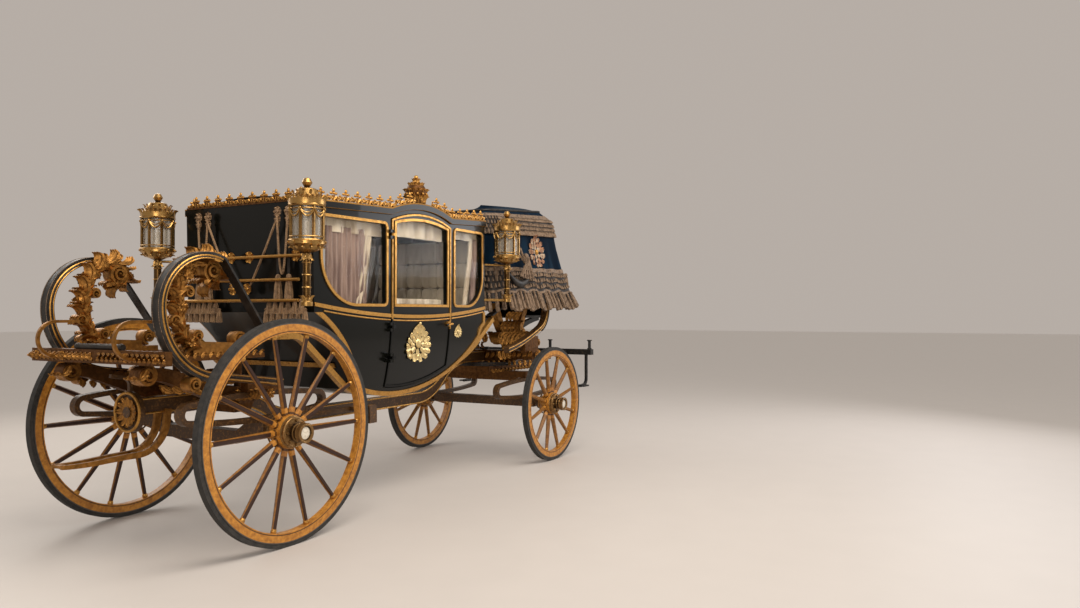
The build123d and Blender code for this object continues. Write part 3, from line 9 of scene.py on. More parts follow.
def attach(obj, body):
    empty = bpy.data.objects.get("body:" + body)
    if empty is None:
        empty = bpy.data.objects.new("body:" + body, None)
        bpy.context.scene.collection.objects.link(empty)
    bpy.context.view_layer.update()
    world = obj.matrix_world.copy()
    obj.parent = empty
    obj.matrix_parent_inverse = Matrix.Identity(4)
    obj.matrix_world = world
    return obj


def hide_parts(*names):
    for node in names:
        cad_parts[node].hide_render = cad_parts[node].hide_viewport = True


bl_info = {
    "name": "State coach dressing",
    "version": (1, 0, 0),
    "blender": (4, 5, 0),
    "location": "View3D > Sidebar > Coach",
    "description": "Dresses the packed coach with materials, carving, cloth and fittings",
    "category": "Object",
}

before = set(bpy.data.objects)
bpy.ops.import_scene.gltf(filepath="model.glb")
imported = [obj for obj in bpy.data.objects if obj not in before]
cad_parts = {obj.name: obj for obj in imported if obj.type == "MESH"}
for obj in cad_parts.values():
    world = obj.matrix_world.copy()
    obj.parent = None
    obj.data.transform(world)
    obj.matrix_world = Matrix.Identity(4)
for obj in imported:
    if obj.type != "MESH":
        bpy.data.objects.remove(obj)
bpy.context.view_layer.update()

# Filled as the finishes and the node trees are made
MATERIALS = {}
TREES = {}
SHARP_ANGLE = math.radians(40)

# Places shared with the CAD part, in metres
TRACK = 1.58
WHEELS = [
    # node stem and body, axle x, radius, spokes, side
    ("wheel_rear_left", -1.72, 0.70, 14, 1),
    ("wheel_rear_right", -1.72, 0.70, 14, -1),
    ("wheel_front_left", 1.72, 0.55, 12, 1),
    ("wheel_front_right", 1.72, 0.55, 12, -1),
]
BODY_HALF = 0.665
BOW_X = -0.31
BOW_RADIUS = 15.0
TURN_UNDER = 2.2
BELT_Z = 1.44
DOOR_X = (-0.596, 0.185)
CORNICE = [(-1.370, 2.150), (-0.596, 2.172), (0.185, 2.172), (0.744, 2.205)]
DOOR_ARCH_Z = 2.242
ROOF_EDGE = 0.044
PALMETTE_PITCH = 0.116
ROUTE_STEP = 0.02
SPRING_Y = 0.53
SPRING_ROOT = 0.028
SPRING_TIP = 0.013
SPRINGS = [
    # start, heading, runs of length and turn, outside of the C
    ((-1.560, 0.985), 172, [(0.532, 0), (0.594, -82), (0.572, -110)], 1),
    ((1.280, 1.082), 10, [(0.340, 8), (0.330, 6), (0.260, 66), (0.430, 110)], -1),
]
STANDARD_Y = 0.445
STANDARD = ((-1.885, 1.214), 176,
            [(0.200, 0), (0.260, -75), (0.300, -40), (0.230, -90), (0.120, -130), (0.060, -60)])
PERCH = ((-2.240, 0.862), 0,
         [(0.640, 0), (0.381, -30), (0.381, 30), (1.420, 0), (0.442, 45), (0.442, -45), (0.450, 0)])
PERCH_HALF = 0.038
PERCH_RISE = 0.045
LAMPS = [
    # x, distance from the centre plane, foot z
    (-1.530, 0.736, 1.480),
    (0.989, 0.714, 1.535),
]
LAMP_LOW = 0.415
LAMP_HIGH = 0.650

# The hanging round the coachman's box; places down it are shares of its height
CLOTH = [
    # share of the way down, rear x, front x, half-width, rear z, front z, corner radius
    (0.00, 1.110, 2.180, 0.420, 2.405, 2.495, 0.10),
    (0.08, 1.045, 2.315, 0.500, 2.335, 2.400, 0.11),
    (0.40, 1.030, 2.360, 0.535, 2.060, 2.110, 0.11),
    (0.72, 1.010, 2.440, 0.590, 1.750, 1.770, 0.11),
    (1.00, 0.990, 2.575, 0.672, 1.452, 1.460, 0.10),
]
CLOTH_HEM = 0.90
CLOTH_THICK = 0.004
CLOTH_ROWS = 40
CLOTH_COLUMNS = 420
FOLDS = 30
FOLD_DEPTH = 0.034
FOLD_TOP = 0.15
SWAGS = 20
SWAG_DEPTH = 0.10
SWAG_TOP = 0.55
KNEE_Z = 2.085
KNEE_HALF = 0.543
CLOTH_BANDS = [
    # name, look, out from the cloth, thickness, bands of: from, to, rows
    ("box_cloth_braid", "braid", 0.009, 0.006, [(0.035, 0.068, 3), (0.600, 0.636, 3), (0.800, 0.818, 2)]),
    # near-black band behind the fringe rows: painted shadow between the tassels
    ("box_cloth_net", "net", 0.006, 0.004, [(0.068, 0.245, 6), (0.636, 0.890, 10)]),
]
CLOTH_FRINGES = [
    # name, sides, width for its length, rows of: share down, length, number round
    ("box_fringe_upper", 8, 1.10,
     [(0.070, 0.036, 150), (0.116, 0.036, 150), (0.162, 0.036, 150), (0.206, 0.055, 150)]),
    ("box_fringe_lower", 8, 1.10, [(0.640, 0.040, 160), (0.692, 0.040, 160), (0.744, 0.042, 160)]),
    ("box_fringe_hem", 12, 0.46, [(0.815, 0.185, 104)]),
]
SEAT_X = 1.645
SEAT_Z = 2.450
SEAT_SLOPE = 0.085
SEAT_CROWN = 0.055
EMBLEM = (1.827, 2.045)
EMBLEM_BUD = 0.19
EMBLEM_RINGS = [
    # reach, number, size, one leaf in so many is pale
    (0.096, 26, 0.070, 3),
    (0.060, 18, 0.066, 3),
    (0.024, 10, 0.055, 1),
]
CORNER_TASSELS = [(2.46, 0.56, 1.86), (1.06, 0.55, 1.90)]
CORNER_TASSEL_SIZE = (0.13, 0.13, 0.17)
CLUSTER_X = 1.455
CLUSTER_Y = 0.640
CLUSTER_KNOT_Z = 1.955
CLUSTER_TASSEL_SIZE = (0.078, 0.078, 0.082)
CLUSTER_ROWS = [
    # tassels, half-width, height, out from the cloth
    (2, 0.014, 1.958, 0.030),
    (3, 0.036, 1.920, 0.028),
    (4, 0.058, 1.880, 0.024),
    (5, 0.080, 1.842, 0.018),
]
CLUSTER_STAYS = [
    # upper x, lower x
    (1.35, 1.42),
    (1.45, 1.45),
]
CLUSTER_STAY_HIGH = (0.585, 2.06)
CLUSTER_STAY_LOW = (0.63, 1.94)
POCKET_X = 1.125
POCKET_Y = 0.640
POCKET_Z = 1.815
POCKET_LENGTH = 0.44
POCKET_SAG = 0.105
POCKET_ROLL = 0.034

# Cabin
BACK_ARC = (-1.848, 0.583, 1.031)
BACK_X = -1.315
CUSHIONS = [
    # name, low corner, high corner
    ("rear_seat_cushion", (-1.290, -0.54, 1.243), (-0.750, 0.54, 1.370)),
    ("front_seat_cushion", (0.164, -0.54, 1.243), (0.684, 0.54, 1.370)),
]
CUSHION_CROWN = 0.02
QUILT_X = [(-1.312, -1.250), (0.650, 0.700)]
QUILT_Z = [(1.44, 1.66), (1.66, 1.88), (1.88, 2.08)]
QUILT_COLUMNS = 6
QUILT_PITCH = 0.17
QUILT_HALF = 0.084
DRAPES = [
    # name, on the door, from x, to x, top, bottom, waves, lean, look
    ("curtain_rear", False, -1.20, -0.80, 2.04, 1.50, 9, 0.0, "curtain"),
    ("curtain_edge_rear", False, -0.805, -0.745, 2.04, 1.50, 2, -0.10, "silk"),
    ("curtain_front", False, 0.62, 0.70, 2.08, 1.50, 3, -0.05, "curtain"),
    ("curtain_edge_front", False, 0.565, 0.63, 2.08, 1.50, 2, -0.12, "silk"),
    ("pelmet_rear", False, -1.29, -0.64, 2.12, 2.00, 4, 0.0, "silk"),
    ("pelmet_front", False, 0.24, 0.69, 2.14, 2.06, 3, 0.0, "silk"),
    ("pelmet_door", True, -0.54, 0.13, 2.20, 2.02, 4, 0.0, "silk"),
    ("ledge_door", True, -0.53, 0.12, 1.545, 1.505, 2, 0.0, "silk"),
]
DRAPE_INSET = 0.056
DRAPE_THICK = 0.004
DRAPE_ROWS = 10

# Body lines and crests
BELT_SECOND_Z = 1.375
BELT_LOW_X = -0.26
BELT_SAG = 6.9
BELT_THICK = 0.006
BELT_SPANS = [
    # from x, to x, part it lies on
    (-1.270, -0.605, "side"),
    (-0.580, 0.165, "door"),
    (0.195, 0.715, "side"),
]
CORNICE_THICK = 0.0075
DOOR_CREST = (-0.25, 1.205, 0.135)
QUARTER_CREST = (0.300, 1.283, 0.048)
CREST_WREATHS = [
    # half-width, half-height, number, leaf's size; all but the number are shares of the reach
    (0.62, 0.56, 16, 0.56),
    (0.30, 0.26, 9, 0.50),
]

# Roof gallery
FLEURON_SIZE = (0.092, 0.10, 0.080)
FLEURON_LOBES = [
    # x, z, half-width, half-height
    (0.00, 0.84, 0.13, 0.20),
    (-0.24, 0.60, 0.17, 0.12),
    (0.24, 0.60, 0.17, 0.12),
    (0.00, 0.60, 0.10, 0.10),
]
ROOF_BEADS = [
    # height, size
    (0.012, 0.012),
    (0.032, 0.008),
]
CROWN_HALF = 0.088
CROWN_INSET = 0.068
CROWN_LEAVES = [
    # height, size, reach, number, lean
    (0.000, 0.070, 0.066, 14, 0.10),
    (0.045, 0.075, 0.076, 14, -0.10),
    (0.095, 0.072, 0.064, 12, -0.50),
    (0.140, 0.060, 0.032, 8, -0.50),
]

# Lamps; heights are above the lamp's foot
LAMP_PLACES = 24
LAMP_LEAVES = [
    # one place in so many, reach, height, growth out, growth up, size
    (1, 0.112, LAMP_HIGH + 0.022, 0.2, 1.0, 0.042),
    (2, 0.085, LAMP_HIGH + 0.062, 0.0, 1.0, 0.034),
    (2, 0.080, LAMP_LOW - 0.050, 1.0, 0.9, 0.040),
    (4, 0.026, 0.020, 0.0, 1.0, 0.055),
    (4, 0.024, 0.335, 0.0, -1.0, 0.050),
]
LAMP_CORNER = 0.117
LAMP_FRAMES = [
    # height, thickness
    (LAMP_LOW + 0.004, 0.008),
    (LAMP_LOW + 0.028, 0.004),
    (LAMP_HIGH - 0.004, 0.009),
    (LAMP_HIGH - 0.028, 0.004),
]
LAMP_GARLANDS = [
    # sag, thickness
    (0.050, 0.0055),
    (0.028, 0.0035),
]
LAMP_STEM_RINGS = [0.045, 0.12, 0.20, 0.28]
LAMP_STEM = 0.028
CANDLE = [(0.014, 0), (0.014, 0.12), (0.010, 0.128), (0.003, 0.130), (0.003, 0.142)]

# Footmen's holders
HOLDER_X = -1.402
HOLDER_YS = (0.345, 0.445)
HOLDER_KNOTS = [
    # height, size
    (2.125, 0.042),
    (2.075, 0.034),
    (2.035, 0.022),
]
STRAP_HEIGHTS = [2.09, 1.95, 1.82, 1.70]
STRAP_THICK = 0.004
STRAP_HALF = 0.017
HOLDER_TASSEL_SIZE = (0.125, 0.125, 0.19)
HOLDER_FRINGE = 13
HOLDER_FRINGE_ROWS = [
    # height, behind the straps
    (1.470, 0.0),
    (1.530, 0.004),
]
HOLDER_FRINGE_Y = 0.235
HOLDER_FRINGE_PITCH = 0.030
HOLDER_FRINGE_SIZE = (0.090, 0.090, 0.105)
HOLDER_CORDS = [
    # name, height at the inner knot, far end's y, far end's z, sag
    ("loop", 2.10, HOLDER_YS[1], 2.10, 0.40),
    ("stay", 2.08, 0.075, 1.60, 0.015),
]
HOLDER_SOCKETS = [(0.09, 1.82), (-0.09, 1.82), (0.53, 1.82), (-0.53, 1.82), (0.07, 1.60), (-0.07, 1.60)]

# Carving
STANDARD_EDGES = [
    # side of the path, size, spacing, out from the path, lean, first point
    (1, 0.120, 0.08, 0.004, 0.25, 12),
    (1, 0.070, 0.08, 0.014, 0.60, 15),
    (-1, 0.055, 0.06, 0.010, 0.35, 18),
]
SCROLLS = [
    # x, y, z, size, turn about Y
    (-2.055, 0.445, 1.692, (0.058, 0.100, 0.058), 0.6),
    (-2.305, 0.445, 1.395, (0.040, 0.085, 0.040), 3.6),
    (-2.215, 0.445, 1.560, (0.034, 0.090, 0.034), 2.4),
    (-2.150, 0.445, 1.300, (0.036, 0.085, 0.036), 0.9),
    (-1.835, 0.445, 1.275, (0.048, 0.080, 0.048), 0.0),
    (-2.430, 0.360, 1.076, (0.060, 0.105, 0.060), 3.3),
    (-1.930, 0.360, 1.020, (0.070, 0.105, 0.070), 0.4),
    (-2.240, 0.530, 1.023, (0.042, 0.090, 0.042), 0.0),
    (1.920, 0.300, 1.215, (0.062, 0.090, 0.062), 2.8),
    (1.500, 0.300, 1.190, (0.058, 0.090, 0.058), 0.3),
    (1.886, 0.500, 1.135, (0.040, 0.090, 0.040), 1.2),
    (1.480, 0.000, 0.905, (0.050, 0.110, 0.050), 0.2),
    (1.975, 0.000, 0.860, (0.045, 0.110, 0.045), 2.9),
]
FLOWERS = [
    # x, y, z, size, outward
    (-2.225, 0.482, 1.668, 0.046, (0, 1, 0)),
    (-2.268, 0.482, 1.480, 0.040, (0, 1, 0)),
    (-2.200, 0.482, 1.270, 0.040, (0, 1, 0)),
    (-2.490, 0.300, 1.180, 0.034, (-1, 0, 0)),
    (-2.490, 0.560, 1.180, 0.034, (-1, 0, 0)),
    (-1.720, 0.610, 0.930, 0.040, (0, 1, 0)),
    (1.720, 0.610, 1.020, 0.040, (0, 1, 0)),
    (1.720, 0.350, 1.230, 0.045, (0, 1, 0)),
]
LEAF_ROWS = [
    # from, to, number, growth, outward, size
    ((-2.488, 0.02, 1.158), (-2.488, 0.61, 1.158), 15, (0, 1, 0.5), (-1, 0, 0), 0.045),
    ((-2.488, 0.03, 1.200), (-2.488, 0.60, 1.200), 14, (0, 1, -0.5), (-1, 0, 0), 0.040),
    ((-2.440, 0.30, 1.110), (-2.440, 0.42, 1.110), 4, (-0.5, 0, -1), (-1, 0, 0.3), 0.085),
    ((-2.180, 0.395, 1.060), (-1.900, 0.395, 1.030), 6, (0.8, 0, -0.4), (0, 1, 0), 0.080),
    ((-2.330, 0.395, 1.010), (-2.050, 0.395, 0.980), 5, (0.8, 0, -0.6), (0, 1, 0), 0.070),
    ((-2.400, 0.478, 1.165), (-1.680, 0.478, 1.165), 14, (0.6, 0, 1), (0, 1, 0), 0.045),
    ((-1.790, 0.06, 0.845), (-1.790, 0.56, 0.90), 10, (0, 0.6, 0.8), (-1, 0, 0), 0.10),
    ((1.650, 0.06, 0.985), (1.650, 0.56, 1.00), 9, (0, 0.5, 0.8), (-1, 0, 0), 0.08),
    ((1.640, 0.10, 0.955), (1.640, 0.58, 0.97), 9, (0, 0.2, -1), (-1, 0, 0), 0.06),
    ((1.790, 0.06, 0.985), (1.790, 0.56, 1.00), 9, (0, 0.5, 0.8), (1, 0, 0), 0.08),
    ((1.480, 0.345, 1.120), (1.900, 0.345, 1.120), 6, (0.4, 0, 1), (0, 1, 0), 0.150),
    ((1.440, 0.350, 1.060), (1.960, 0.350, 1.060), 8, (0.2, 0, -1), (0, 1, 0), 0.090),
    ((1.540, 0.340, 1.240), (1.840, 0.340, 1.240), 5, (-0.3, 0, 1), (0, 1, 0), 0.140),
    ((1.600, 0.340, 1.350), (1.800, 0.340, 1.350), 4, (0.3, 0, 1), (0, 1, 0), 0.110),
    ((1.560, 0.200, 1.140), (1.560, 0.020, 1.140), 3, (-0.2, 0, 1), (-1, 0, 0), 0.140),
    ((1.420, 0.04, 1.085), (1.640, 0.04, 1.085), 4, (-0.8, 0, 0.5), (0, 1, 0.4), 0.09),
    ((1.440, 0.260, 0.880), (2.300, 0.260, 0.880), 14, (0.8, 0, -0.5), (0, 1, 0), 0.055),
]
STANDARD_ROWS = (-0.024, 0.0, 0.024)
STANDARD_SIDES = [
    # out from the middle, first point
    (0.030, 12),
    (-0.030, 13),
]
BOSS_X = -2.272
BOSS_Z = 0.832
BOSS_RIM = 0.117
ROLL_PLACE = (-2.455, 0, 1.236)
ROLL = [(0.001, -0.22), (0.018, -0.22), (0.022, -0.20), (0.018, -0.18), (0.019, 0), (0.018, 0.18),
        (0.022, 0.20), (0.018, 0.22), (0.001, 0.22)]

# Lines on the springs and fittings of the wheels
SPRING_LINES = [
    # share of the half-thickness, thickness, in gold
    (0.55, 0.0065, True),
    (-0.62, 0.0038, True),
    (-0.10, 0.0040, False),
]
SPRING_FACE = 0.031
BRACE_EDGE = 0.028
BRACE_OUT = 0.0145
CLASP = [(-0.018, -0.034), (0.032, -0.034), (0.032, 0.034), (-0.018, 0.034)]
CLASP_HALF = 0.020
HUB_RINGS = [
    # distance from the centre plane, radius, thickness
    (0.700, 0.100, 0.006),
    (0.806, 0.095, 0.006),
    (0.836, 0.088, 0.005),
    (0.862, 0.053, 0.005),
    (0.894, 0.060, 0.004),
    (0.922, 0.054, 0.005),
]
NUT_Y = 0.840
NUT_CIRCLE = 0.074
NUT_SIZE = (0.010, 0.010, 0.012)
DISC_Y = 0.9085
DISC_RADIUS = 0.040
NUT = [(1, -0.6), (1, 0.7), (0.8, 1.0)]
LENS = [(0.94, 0), (1, 0.10), (0.94, 0.18), (0.5, 0.26)]
COLLAR = [(0.86, -1), (1, -0.5), (1, 0.5), (0.86, 1)]
COLLAR_DEPTH = 0.098
COLLAR_SIZE = (0.0185, 0.0185, 0.012)

# Stage
STAGE_LIGHTS = [
    # name, place, aim, width, height, share of the key light's power, colour
    ("key", (-1.5, -3.5, 5.5), (0, 0, 1.2), 6.0, 3.0, 1.0, (1.0, 0.94, 0.86)),
    ("side", (-7.5, -4.5, 2.6), (-0.5, 0, 1.2), 3.0, 3.0, 0.35, (1.0, 0.92, 0.82)),
    ("front", (6.0, -5.0, 3.5), (0.5, 0, 1.2), 4.0, 3.0, 0.45, (0.95, 0.96, 1.0)),
    ("back", (0.0, 6.0, 4.5), (0, 0, 1.3), 6.0, 3.0, 0.5, (1.0, 0.96, 0.9)),
]
FLOOR_HALF = 60.0
ROOM_COLOUR = (1.0, 0.97, 0.93, 1)
BACKDROP_COLOUR = (0.47, 0.42, 0.38, 1)

# Colours, linear
LACQUER = (0.0020, 0.0022, 0.0016, 1)
LACQUER_LIGHT = (0.0036, 0.0038, 0.0026, 1)
GOLD = (0.50, 0.26, 0.062, 1)
# dark gold for the painted shade in the mouldings' hollows and for random grime
GOLD_SHADE_AND_GRIME = (0.09, 0.036, 0.009, 1)
OCHRE = (0.50, 0.215, 0.030, 1)
OCHRE_DARK = (0.24, 0.088, 0.012, 1)
SPOKE_BROWN = (0.026, 0.008, 0.003, 1)
BRASS = (0.42, 0.245, 0.078, 1)
# dark brass for the painted shade in the lamps' hollows and for random tarnish
BRASS_SHADE_AND_TARNISH = (0.05, 0.024, 0.008, 1)
STEEL_DARK = (0.11, 0.10, 0.09, 1)
RUBBER = (0.022, 0.021, 0.020, 1)
RUBBER_DUST = (0.045, 0.040, 0.035, 1)
LEATHER = (0.010, 0.009, 0.008, 1)
LEATHER_WORN = (0.035, 0.028, 0.022, 1)
NAVY = (0.0015, 0.006, 0.014, 1)
NAVY_LIGHT = (0.004, 0.018, 0.036, 1)
NAVY_SHEEN = (0.2, 0.4, 0.6, 1)
GAUZE = (0.26, 0.17, 0.13, 1)
# darker gauze for the painted shade of folds in the curtains' vertical streaks
GAUZE_FOLD_SHADE = (0.12, 0.07, 0.055, 1)
SILK = (0.62, 0.52, 0.38, 1)
SILK_DARK = (0.32, 0.24, 0.16, 1)
PANE = (0.55, 0.50, 0.42, 1)
PANE_SMOKE = (0.25, 0.20, 0.14, 1)
GLASS = (0.95, 0.97, 0.96, 1)
GLASS_SMEAR = (0.86, 0.9, 0.88, 1)
WOOD = (0.07, 0.035, 0.018, 1)
WOOD_LIGHT = (0.16, 0.09, 0.05, 1)
GILDINGS = [
    # look, material, bright, dark for painted shade in hollows and for grime, roughness, carved relief whose
    # cells also paint shade
    ("gold", "gilt_moulding", GOLD, GOLD_SHADE_AND_GRIME, 0.30, 0.0),
    ("carved", "carved_gilt", (0.38, 0.175, 0.038, 1), (0.020, 0.008, 0.003, 1), 0.36, 34.0),
    ("leaf", "gilt_leaf", (0.50, 0.255, 0.060, 1), (0.045, 0.018, 0.006, 1), 0.32, 0.0),
    ("crest", "gilt_crest", (0.75, 0.58, 0.28, 1), (0.30, 0.19, 0.07, 1), 0.34, 0.0),
    ("ground", "carved_ground", (0.15, 0.062, 0.016, 1), (0.010, 0.004, 0.002, 1), 0.42, 34.0),
    ("bronze", "hub_bronze", (0.24, 0.135, 0.048, 1), (0.028, 0.012, 0.005, 1), 0.28, 0.0),
]
THREADS = [
    # look, material, bright, dark, fineness of the twist
    ("embroidery", "emblem_thread", (0.46, 0.22, 0.10, 1), (0.10, 0.04, 0.025, 1), 0.6),
    ("pale_thread", "pale_thread", (0.50, 0.40, 0.27, 1), (0.20, 0.09, 0.05, 1), 0.6),
    # near-black backing behind the fringe: painted shadow between the tassels
    ("net", "fringe_net", (0.030, 0.020, 0.014, 1), (0.006, 0.005, 0.006, 1), 1.0),
    ("braid", "silver_braid", (0.27, 0.172, 0.100, 1), (0.030, 0.016, 0.009, 1), 1.0),
    ("cord", "bronze_cord", (0.36, 0.215, 0.105, 1), (0.075, 0.038, 0.018, 1), 1.0),
]
IRONS = [
    # look, material, paint, rubbed edge
    ("spring", "spring_paint", (0.050, 0.024, 0.009, 1), (0.20, 0.09, 0.022, 1)),
    ("black_iron", "black_iron", (0.008, 0.008, 0.008, 1), (0.05, 0.035, 0.02, 1)),
    ("pale", "hub_disc", (0.60, 0.54, 0.44, 1), (0.34, 0.28, 0.20, 1)),
]

# Where the gold on a door begins: behind and below the handle, and below the belt
HANDLE_X = 0.090
HANDLE_Z = 1.300
GILT_Z = 1.388

# Painted lines on a wheel, as distances from its centre or in from its tread
SPOKE_FOOT = 0.150
FELLOE_DEPTH = 0.118
STRIPE_HALF = 0.0112
FELLOE_LINE = 0.078
LINE_HALF = 0.0035
HUB_LINE = (0.104, 0.120)
TYRE_DEPTH = 0.034


# Shader maths


class Wire:
    """An output of a shader node that can be added, subtracted and multiplied."""

    def __init__(self, shade, socket):
        self.shade = shade
        self.socket = socket

    def __add__(self, other):
        return self.shade.maths("ADD", self, other)

    def __radd__(self, other):
        return self.shade.maths("ADD", other, self)

    def __sub__(self, other):
        return self.shade.maths("SUBTRACT", self, other)

    def __rsub__(self, other):
        return self.shade.maths("SUBTRACT", other, self)

    def __mul__(self, other):
        return self.shade.maths("MULTIPLY", self, other)

    def __rmul__(self, other):
        return self.shade.maths("MULTIPLY", other, self)

    def abs(self):
        return self.shade.maths("ABSOLUTE", self)

    def fraction(self):
        return self.shade.maths("FRACT", self)

    def sine(self):
        return self.shade.maths("SINE", self)

    def ramp(self, low, high, to_low=0.0, to_high=1.0):
        """A smooth step from to_low at low to to_high at high."""
        inputs = dict(enumerate((self, low, high, to_low, to_high)))
        return self.shade.node("ShaderNodeMapRange", inputs, interpolation_type="SMOOTHSTEP")


class Shade:
    """One material and the nodes that feed its shader."""

    def __init__(self, name, **settings):
        self.material = bpy.data.materials.new(name)
        self.material.use_nodes = True
        self.tree = self.material.node_tree
        shader = self.tree.nodes["Principled BSDF"]
        self.sockets = {s.name.lower().replace(" ", "_"): s for s in shader.inputs}
        for socket, value in settings.items():
            self.sockets[socket].default_value = value

    def node(self, kind, inputs, output=0, **options):
        """An output of a new node with these options, its inputs set or wired."""
        made = self.tree.nodes.new(kind)
        for key, value in options.items():
            setattr(made, key, value)
        for socket, value in inputs.items():
            if isinstance(value, Wire):
                self.tree.links.new(value.socket, made.inputs[socket])
            else:
                made.inputs[socket].default_value = value
        return Wire(self, made.outputs[output])

    def maths(self, operation, *values):
        return self.node("ShaderNodeMath", dict(enumerate(values)), operation=operation)

    def place(self):
        """The object's own coordinates."""
        return self.node("ShaderNodeTexCoord", {}, "Object")

    def axes(self):
        """X, Y and Z of the object's own coordinates."""
        first = self.node("ShaderNodeSeparateXYZ", {0: self.place()})
        return [Wire(self, output) for output in first.socket.node.outputs]

    def stretched(self, x, y, z):
        """The object's own coordinates, each axis multiplied."""
        return self.node("ShaderNodeVectorMath", {0: self.place(), 1: (x, y, z)}, operation="MULTIPLY")

    def noise(self, scale, detail, vector=None, rough=0.5):
        inputs = {"Vector": vector or self.place(), "Scale": scale, "Detail": detail, "Roughness": rough}
        return self.node("ShaderNodeTexNoise", inputs)

    def cells(self, scale):
        return self.node("ShaderNodeTexVoronoi", {"Vector": self.place(), "Scale": scale}, "Distance")

    def hollows(self):
        """1 in hollows and 0 on edges, from the shape itself; the finishes use it to paint shade into
        hollows.
        """
        return self.node("ShaderNodeNewGeometry", {}, "Pointiness").ramp(0.44, 0.53, 1.0, 0.0)

    def mix(self, factor, a, b):
        """A colour between a and b."""
        return self.node("ShaderNodeMix", {0: factor, 6: a, 7: b}, 2, data_type="RGBA")

    def bump(self, height, strength, distance):
        inputs = {"Height": height, "Strength": strength, "Distance": distance}
        self.set(normal=self.node("ShaderNodeBump", inputs))

    def set(self, **wires):
        """Wires outputs into the shader, by its socket's name."""
        for socket, wire in wires.items():
            self.tree.links.new(wire.socket, self.sockets[socket])
        return self.material


def lacquer():
    """Very dark varnished coach paint, with faint waviness under its coat."""
    s = Shade("coach_lacquer", specular_ior_level=0.15, coat_weight=0.2, coat_roughness=0.03, roughness=0.3)
    s.bump(s.noise(2.2, 2.0) + s.noise(260.0, 1.0) * 0.02, 0.05, 0.02)
    tint = s.noise(1.4, 4.0)
    return s.set(base_color=s.mix(tint, LACQUER, LACQUER_LIGHT))


def gilding(name, bright, dark, roughness, relief):
    """Gold leaf, worn and toned in patches, with painted shade in its hollows and its carved relief."""
    s = Shade(name, metallic=0.85)
    grime = s.noise(38.0, 5.0, rough=0.65)
    # painted shade in the hollows found from the shape, plus random grime
    shade = s.hollows() * 0.75 + grime.ramp(0.45, 0.75) * 0.45
    colour = s.mix(shade, bright, dark)
    height = s.noise(420.0, 2.0) * 0.4
    if relief:
        leafy = s.cells(relief)
        height = height + leafy * 3.0
        # the relief cells also darken the colour: painted shade in the carving
        colour = s.mix(leafy.ramp(0.3, 0.8, 0.0, 0.3), colour, dark)
    s.bump(height, 0.45, 0.0016)
    return s.set(base_color=colour, roughness=grime.ramp(0.3, 0.75, roughness - 0.06, roughness + 0.22))


def wheel_paint(name, axle_x, radius, spokes):
    """Ochre-gold paint with dark brown faces on the spokes and a metal rim."""
    s = Shade(name, coat_weight=0.12, coat_roughness=0.2, specular_ior_level=0.3)
    x, _, z = s.axes()
    across, up = x - axle_x, z - radius
    out = s.maths("SQRT", across * across + up * up)
    angle = s.maths("ARCTAN2", up, across)
    # the added number keeps the turn above zero, with a spoke's middle at one half
    turn = (angle * (spokes / (2 * math.pi)) + 100.5).fraction()
    along = (turn - 0.5).abs() * (2 * math.pi / spokes) * out
    felloe = radius - FELLOE_DEPTH
    on_spoke = out.ramp(SPOKE_FOOT, SPOKE_FOOT + 0.008) * out.ramp(felloe, felloe + 0.010, 1.0, 0.0)
    stripe = on_spoke * along.ramp(STRIPE_HALF, STRIPE_HALF + 0.0018, 1.0, 0.0)
    grain = s.noise(9.0, 6.0, s.stretched(3, 3, 3), 0.7)
    worn = s.noise(70.0, 4.0)
    inner, outer = HUB_LINE
    hub_line = out.ramp(inner, inner + 0.004) * out.ramp(outer, outer + 0.004, 1.0, 0.0)
    line = s.maths("COMPARE", out, radius - FELLOE_LINE, LINE_HALF) + hub_line
    colour = s.mix(grain.ramp(0.3, 0.7), OCHRE, OCHRE_DARK)
    for share in (worn.ramp(0.58, 0.75) * 0.5, on_spoke * 0.5, stripe, line * 0.85):
        colour = s.mix(share, colour, SPOKE_BROWN)
    tread = radius - TYRE_DEPTH
    rim = out.ramp(tread, tread + 0.002)
    colour = s.mix(rim, colour, STEEL_DARK)
    s.bump(grain * 0.6 + worn * 0.3, 0.25, 0.002)
    return s.set(base_color=colour, metallic=rim * 0.9, roughness=worn.ramp(0.3, 0.8, 0.34, 0.6))


def tyre_material():
    """Dark grey tyre, dusty on its tread."""
    s = Shade("tyre_rubber", specular_ior_level=0.2)
    dust = s.noise(26.0, 5.0, rough=0.7)
    s.bump(s.noise(180.0, 3.0), 0.35, 0.002)
    colour = s.mix(dust.ramp(0.35, 0.7), RUBBER, RUBBER_DUST)
    return s.set(base_color=colour, roughness=dust.ramp(0.3, 0.8, 0.6, 0.9))


def brass():
    """Aged lamp brass, tarnished in patches and dark in its hollows with painted shade."""
    s = Shade("lamp_brass", metallic=0.95)
    tarnish = s.noise(24.0, 6.0, rough=0.7)
    # painted shade in the hollows found from the shape, plus random tarnish
    shade = s.hollows() * 0.8 + tarnish.ramp(0.48, 0.75) * 0.45
    s.bump(s.noise(300.0, 2.0), 0.2, 0.001)
    colour = s.mix(shade, BRASS, BRASS_SHADE_AND_TARNISH)
    return s.set(base_color=colour, roughness=tarnish.ramp(0.3, 0.8, 0.2, 0.5))


def iron(name, colour, edge):
    """Painted iron, rubbed through in patches."""
    s = Shade(name, coat_weight=0.08, coat_roughness=0.2, specular_ior_level=0.3)
    chips = s.noise(60.0, 5.0, rough=0.7)
    s.bump(chips, 0.25, 0.0015)
    finish = s.mix(chips.ramp(0.5, 0.72), colour, edge)
    return s.set(base_color=finish, roughness=chips.ramp(0.3, 0.8, 0.3, 0.6))


